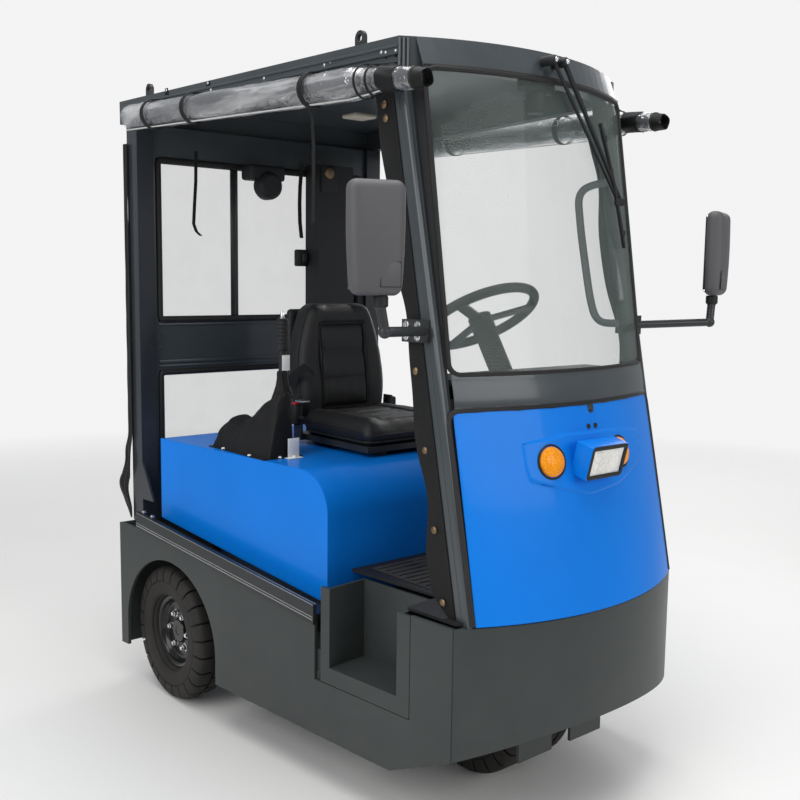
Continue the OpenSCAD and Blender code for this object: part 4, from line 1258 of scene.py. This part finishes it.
def neck_place(u, v):
    """The gathered neck of the cover, drawn in round the lever."""
    turn = u * math.tau
    radius = 0.0135 + 0.016 * (1 - v) ** 1.6 + 0.0022 * math.sin(turn * 6 + v * 4) * (1 - v * 0.6)
    radius += 0.0016 * bump_at(v, 0.9, 0.06)
    return at(LEVER_X + radius * math.cos(turn), LEVER_Y + radius * math.sin(turn),
              0.974 + 0.078 * v)


neck = surface(48, 20, neck_place, 0.0016)
boot = settled(joined(surface(72, 120, boot_place, 0.0016), neck), "lever_boot", "cover",
               "hood_lid", 70)
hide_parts("brake_boot")
flange = block((-0.424, -0.434, 0.8102), (-0.290, -0.128, 0.8128), 0.0012)
settled(from_axle(flange), "boot_flange", "cover", "hood_lid")
snaps = [domed(at(x, y, 0.8135), (-0.3, -0.3, 1), 0.0055, 0.0028, 16)
         for x, y in ((-0.4185, -0.204), (-0.4185, -0.350), (-0.367, -0.429))]
settled(joined(*snaps), "boot_snaps", "white", "hood_lid")
bracket = joined(block((-0.354, -0.458, 0.8102), (-0.306, -0.4345, 0.8125), 0.0008),
                 block((-0.346, -0.4405, 0.8120), (-0.308, -0.4380, 0.866), 0.0008),
                 hexagon((-0.330, -0.449, 0.8125), (0, 0, 1), 0.012, 0.006, 0.008))
settled(from_axle(bracket), "cable_bracket", "white", "hood_lid")
grip = [(0.0, 0.003), (0.0112, 0.003), (0.0112, 0.300), (0.0135, 0.302), (0.0160, 0.306)]
for i in range(7):
    z = 0.312 + i * 0.0108
    grip += [(0.0168, z), (0.0168, z + 0.0074), (0.0152, z + 0.0082), (0.0152, z + 0.0100)]
grip += [(0.0165, 0.3885), (0.0130, 0.3925), (0.0, 0.3930)]
lever = settled(turned(grip, at(LEVER_X, LEVER_Y, 0.8103), (0, 0, 1), 32), "lever_rod",
                "plastic", "hood_lid")
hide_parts("brake_lever")
tip = turned([(0, 0.020), (0.0042, 0.019), (0.0060, 0.015), (0.0060, 0.004), (0.0075, 0.003),
              (0.0075, -0.001), (0, -0.001)], at(LEVER_X, LEVER_Y, 1.2033), (0, 0, 1), 24)
settled(tip, "lever_button", "chrome", "hood_lid")
card = block((-0.3370, -0.3968, 1.055), (-0.3110, -0.3955, 1.099), 0.0004)
settled(from_axle(card), "lever_card", "white", "hood_lid")

# mirrors and wipers
mirror_seat = (Matrix.Translation(at(-0.618, -1.165, 1.400))
               @ Matrix.Rotation(math.radians(-20), 4, "Z"))


def mirror_shape(p):
    """Narrower towards its foot, with a shallow hollow in the front."""
    slim = 1 - 0.12 * max(0.0, (0.03 - p.z) / 0.147) ** 1.8
    hollow = 0.006 * (1 - (p.x / 0.062) ** 2) * (1 - (p.z / 0.117) ** 2) if p.y < 0 else 0
    return Vector((0.006 * (1 - slim) + p.x * slim, p.y - hollow, p.z))


shell = stuffed((0.062, 0.023, 0.117), 0.0205, 36, mirror_shape)
hole = block((-0.052, 0.017, -0.105), (0.052, 0.060, 0.105), 0.006, 3)
worked(shell, "BOOLEAN", operation="DIFFERENCE", solver="EXACT", object=hole)
bpy.data.objects.remove(hole)
facing = Matrix.Rotation(math.pi / 2, 4, "X")
lid = plate([(0.004, -0.098), (0.044, -0.098), (0.046, -0.096), (0.046, -0.052), (0.043, -0.049),
             (0.008, -0.049), (0.004, -0.053)], 0.0016,
            Matrix.Translation((0, -0.0262, 0)) @ facing, 0.0006)
joint = plate([(0.0025, -0.0995), (0.0475, -0.0995), (0.0475, -0.0475), (0.0025, -0.0475)],
              0.0010, Matrix.Translation((0, -0.0256, 0)) @ facing)
both(moved(joint, mirror_seat), "mirror_lid_joint", "seal")
made = both(moved(joined(shell, lid), mirror_seat), "mirror_housing", "grey_plastic", angle=40)
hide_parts("mirror_shells")
rubber_ring = frame_ring((0.0535, 0.1065), (0.0490, 0.1020), 0.010, 0.0024)
moved(rubber_ring, Matrix.Rotation(math.pi, 4, "Z"))
both(moved(moved(rubber_ring, Matrix.Translation((0, 0.0205, 0))), mirror_seat),
     "mirror_gasket", "seal", angle=50)
bolts = [hexagon(at(-0.4072, y, z), (-1, 0, 0), 0.013, 0.0065, 0.0088)
         for y, z in ((-1.058, 1.186), (-1.058, 1.214), (-1.018, 1.186), (-1.018, 1.214))]
both(joined(*bolts), "mirror_clamp_bolts", "chrome")
knuckle = turned([(0, 0.024), (0.0145, 0.024), (0.0165, 0.021), (0.0165, 0.003), (0.0140, 0),
                  (0, 0)], at(-0.604, -1.165, 1.259), (0, 0, 1), 28)
both(knuckle, "mirror_knuckle", "plastic")


def arm_bar(start, end, wide, thick):
    """A flat pressed wiper arm that narrows towards its end."""
    middle = start.lerp(end, 0.5)
    made = frames([start, start.lerp(end, 0.18), middle, end], lambda place: Vector((0, 1, 0)))
    for station, share in zip(made, (1.0, 1.0, 0.72, 0.55)):
        station.col[0] *= wide * share
        station.col[1] *= thick
    return tidied(swept([(-1, -0.6), (-0.8, -1), (0.8, -1), (1, -0.6), (1, 1), (0.82, 1),
                         (0.82, -0.2), (-0.82, -0.2), (-0.82, 1), (-1, 1)], made))


ARM_Y = -1.1145
pivots = [at(-0.038, ARM_Y, 1.843), at(0.002, ARM_Y, 1.843)]
hooked = [at(0.232, ARM_Y + 0.003, 1.525), at(0.246, ARM_Y + 0.003, 1.525)]
parts = [arm_bar(pivots[0], hooked[0], 0.0042, 0.0030),
         arm_bar(pivots[1], hooked[1], 0.0058, 0.0036)]
for place in pivots:
    parts.append(turned([(0, 0.010), (0.0085, 0.009), (0.0115, 0.005), (0.0122, -0.004),
                         (0.0122, -0.034), (0, -0.034)], place, (0, -1, 0), 28))
parts.append(block(at(0.222, ARM_Y - 0.003, 1.515), at(0.256, ARM_Y + 0.007, 1.534), 0.003))
wiper = settled(joined(*parts), "wiper_arms", "plastic", angle=40)
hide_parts("wipers")
caps = [domed(place + Vector((0, -0.010, 0)), (0, -1, 0), 0.0058, 0.0040, 18) for place in pivots]
settled(joined(*caps), "wiper_caps", "chrome")
blade_ends = [at(0.159, -1.1045, 1.717), at(0.268, -1.1110, 1.407)]
spine = [blade_ends[0].lerp(blade_ends[1], k / 6)
         + Vector((0, -0.006 * math.sin(math.pi * k / 6), 0)) for k in range(7)]
squeegee = band([p + Vector((0, 0.003, 0)) for p in spine], (0, 1, 0), 0.009, 0.0018)
blade = [rod(spine, 0.0042, 10), squeegee]
for k in (0.12, 0.38, 0.62, 0.88):
    place = blade_ends[0].lerp(blade_ends[1], k)
    blade.append(block(place - Vector((0.006, 0.009, 0.008)), place + Vector((0.006, 0.001, 0.008)),
                       0.002))
settled(joined(*blade), "wiper_blade", "seal", angle=50)
motors = [block(at(-0.078, -1.060, 1.7760), at(0.038, -1.030, 1.8360), 0.010, 4)]
motors.append(turned([(0, 0.05), (0.020, 0.049), (0.024, 0.044), (0.024, 0), (0, 0)],
                     at(-0.020, -1.045, 1.7760), (0, 0, -1), 32))
settled(joined(*motors), "wiper_motor", "plastic")

# rear wall, roof and inside
for low, high, name in ((1.172, 1.692, "upper"), (0.640, 1.012, "lower")):
    half = (high - low) / 2
    ring = frame_ring((0.4150, half + 0.003), (0.3960, half - 0.016), 0.013, 0.0065)
    inner = moved(copied(ring), Matrix.Translation(at(0, 0.2110, (low + high) / 2)))
    outer = moved(ring, Matrix.Translation(at(0, 0.2370, (low + high) / 2))
                  @ Matrix.Rotation(math.pi, 4, "Z"))
    settled(joined(inner, outer), "window_seal_" + name, "seal", angle=50)
bars = [block(at(-0.139, 0.2150, 1.176), at(-0.120, 0.2200, 1.688), 0.002),
        block(at(-0.118, 0.2270, 1.176), at(-0.103, 0.2320, 1.688), 0.002)]
settled(joined(*bars), "sliding_glass_mullion", "black_steel")
lines = [block(at(-0.412, 0.2085, z), at(0.412, 0.2118, z + tall), 0.001)
         for z, tall in ((1.0225, 0.008), (1.036, 0.010), (1.158, 0.007))]
settled(joined(*lines), "crossbar_mouldings", "cab")
catch = [block(at(0.119, 0.196, 1.359), at(0.178, 0.219, 1.418), 0.006, 3),
         block(at(0.136, 0.184, 1.372), at(0.160, 0.197, 1.405), 0.005, 3)]
settled(joined(*catch), "window_catch", "plastic")
work = [block(at(-0.115, 0.120, 1.640), at(0.020, 0.190, 1.690), 0.010, 3),
        turned([(0, 0), (0.034, 0.001), (0.043, 0.008), (0.046, 0.020), (0.046, 0.044),
                (0.040, 0.055), (0, 0.058)], at(-0.046, 0.100, 1.622), (0, 1, 0), 40)]
settled(joined(*work), "rear_work_lamp", "plastic")
for index, (points, wide) in enumerate((
        (((-0.303, 0.150, 1.715), (-0.305, 0.150, 1.617), (-0.309, 0.152, 1.550),
          (-0.312, 0.154, 1.486), (-0.300, 0.158, 1.462), (-0.285, 0.156, 1.449)), 0.014),
        (((0.106, 0.150, 1.715), (0.104, 0.150, 1.688), (0.100, 0.152, 1.630),
          (0.098, 0.152, 1.573), (0.101, 0.154, 1.510), (0.107, 0.153, 1.456)), 0.020))):
    tie = band([at(*p) for p in points], (0.9, 0.3, 0), wide, 0.0014)
    settled(tie, "hanging_tie_%d" % (index + 1), "web", angle=60)
tie = [at(x, y, z) for x, y, z in ((-0.4700, -0.7000, 1.745), (-0.4500, -0.7010, 1.715),
       (-0.4440, -0.7000, 1.640), (-0.4430, -0.6985, 1.540), (-0.4450, -0.7000, 1.455))]
settled(band(tie, (0, 1, 0.02), 0.014, 0.0014), "ring_tail", "web", angle=60)
dome_lamp = block(at(-0.101, -0.425, 1.7830), at(-0.024, -0.355, 1.7950), 0.005, 4)
settled(dome_lamp, "dome_lamp", "beige")
badge = turned([(0, 0.004), (0.016, 0.0036), (0.0185, 0.0026), (0.0200, 0), (0, 0)],
               at(0.205, 0.1228, 1.683), (0, -1, 0), 40)
settled(badge, "column_badge", "brass")
oval = block(at(0.172, 0.1230, 1.618), at(0.238, 0.1298, 1.708), 0.0032, 3)
settled(oval, "badge_plate", "plastic")
handle = rod([at(0.340, y, z) for y, z in ((-1.042, 1.204), (-1.015, 1.203), (-0.985, 1.205),
             (-0.962, 1.222), (-0.950, 1.250), (-0.938, 1.290), (-0.920, 1.372), (-0.903, 1.452),
             (-0.893, 1.515), (-0.889, 1.545), (-0.896, 1.566), (-0.915, 1.580), (-0.961, 1.589),
             (-0.985, 1.590))], 0.011, 16)
settled(handle, "grab_handle", "grey_steel", angle=60)


def roof_drop(y):
    """How far the roof's side has come down at a place behind its front edge."""
    return (y + 0.96) * 0.0052


rail_section = [(-0.0006, 0.0), (0.0050, 0.0), (0.0060, 0.0012), (0.0060, 0.0060), (0.0035, 0.0075),
                (0.0035, 0.0150), (0.0060, 0.0165), (0.0060, 0.0215), (0.0045, 0.0230),
                (-0.0006, 0.0230)]
stations = []
for i in range(9):
    y = -0.955 + 1.205 * i / 8
    place = at(-half_at(ROOF_HALF, y), y, 1.8290 - roof_drop(y))
    stations.append(Matrix(((-1, 0, 0, place.x), (0, 0, 1, place.y), (0, 1, 0, place.z),
                            (0, 0, 0, 1))))
rail = tidied(swept(rail_section, stations))
both(rail, "roof_side_rail", "cab")
rivets = [domed(at(-half_at(ROOF_HALF, y) - 0.0036, y, 1.8402 - roof_drop(y)), (-1, 0, 0),
                0.0048, 0.0026, 14) for y in (-0.90, -0.70, -0.46, -0.22, 0.02, 0.20)]
both(joined(*rivets), "roof_rail_rivets", "steel")
ribs = [rod([at(x, y, 1.8000), at(x, y, 1.8660)], 0.0034, 8, False)
        for x, y in ((-0.3868, -0.9575), (-0.3785, -0.9625), (-0.3695, -0.9670))]
both(joined(*ribs), "roof_corner_ribs", "cab")
header = [-0.352 + 0.704 * i / 32 for i in range(33)]
lip = [at(x, skin_y(x, 1.8050) - 0.0016, 1.8050) for x in header]
settled(rod(lip, 0.0034, 8), "header_bead", "seal")
post_lines = []
for x in (-0.4870, -0.4700, -0.4460):
    y = 0.2090 + 0.0933 * (x + 0.4900)
    post_lines.append(rod([at(x, y, 0.730), at(x, y, 1.735)], 0.0022, 8, False))
both(joined(*post_lines), "post_beads", "cab")

# footwell, sill bolts and rear end
mat = [block(at(-0.275, -1.150, 0.5462), at(0.275, -0.735, 0.5480), 0.0008)]
for i in range(15):
    y = -1.135 + 0.027 * i
    for low, high in ((-0.268, -0.144), (-0.132, -0.004), (0.004, 0.132), (0.144, 0.268)):
        mat.append(block(at(low, y, 0.5478), at(high, y + 0.014, 0.5510), 0.0014))
settled(joined(*mat), "floor_mat", "mat")
bolts = [hexagon(sill(y, rail_top(y) + 0.002, -0.010), (0, 0, 1), 0.013, 0.006, 0.0085)
         for y in (0.112, 0.062)]
both(joined(*bolts), "sill_bolts", "steel")
pedals = [block((-0.045, -0.006, -0.040), (0.045, 0.006, 0.040), 0.006, 3)]
for i in range(5):
    pedals.append(block((-0.038, -0.010, -0.032 + 0.014 * i), (0.038, -0.005, -0.025 + 0.014 * i),
                        0.002))
pedal = joined(*pedals)
pads = []
for x in (-0.150, 0.110):
    pads.append(copied(pedal, Matrix.Translation(at(x, -1.040, 0.655))
                       @ Matrix.Rotation(math.radians(-40) + math.pi, 4, "X")))
    pads.append(rod([at(x, -1.050, 0.660), at(x, -1.085, 0.745), at(x, -1.075, 0.820)], 0.007, 10))
bpy.data.objects.remove(pedal)
settled(joined(*pads), "pedals", "seal")
tail = []
for sign in (-1, 1):
    x = sign * 0.4396
    tail.append(frame_ring((0.0475, 0.0325), (0.0405, 0.0255), 0.010, 0.0040))
    moved(tail[-1], Matrix.Translation(at(x, 0.2555, 0.450)) @ Matrix.Rotation(math.pi, 4, "Z"))
settled(joined(*tail), "tail_lamp_rims", "plastic", angle=50)


# floor and sky
def make_stage():
    """A pale floor that fades out, and an even grey sky."""
    deselect()
    bpy.ops.mesh.primitive_circle_add(vertices=128, radius=16, fill_type="NGON",
                                      location=(0, 0, -0.0005))
    floor = bpy.context.object
    floor.name = "studio_floor"
    made = Finish("studio_floor", Roughness=0.5)
    cloud = made.noise(0.8, 3).over(0.3, 0.7)
    reach = (made.axis("X") ** 2 + made.axis("Y") ** 2) ** 0.5
    made.feed(Base_Color=made.blend(cloud, rgba(0.80, 0.79, 0.77), rgba(0.83, 0.82, 0.80)),
              Alpha=1 - reach.over(2.2, 6.0))
    floor.data.materials.append(made.material)
    floor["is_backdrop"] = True
    world = bpy.data.worlds.new("studio")
    bpy.context.scene.world = world
    world.use_nodes = True
    tree = world.node_tree
    tree.nodes.clear()
    rays = tree.nodes.new("ShaderNodeLightPath")
    glow, seen = tree.nodes.new("ShaderNodeBackground"), tree.nodes.new("ShaderNodeBackground")
    glow.inputs[0].default_value = (0.93, 0.96, 1.0, 1)
    glow.inputs[1].default_value = 0.42
    seen.inputs[0].default_value = (0.90, 0.90, 0.90, 1)
    mix = tree.nodes.new("ShaderNodeMixShader")
    tree.links.new(rays.outputs["Is Camera Ray"], mix.inputs[0])
    tree.links.new(glow.outputs[0], mix.inputs[1])
    tree.links.new(seen.outputs[0], mix.inputs[2])
    sky = tree.nodes.new("ShaderNodeOutputWorld")
    tree.links.new(mix.outputs[0], sky.inputs[0])


make_stage()
low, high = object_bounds()
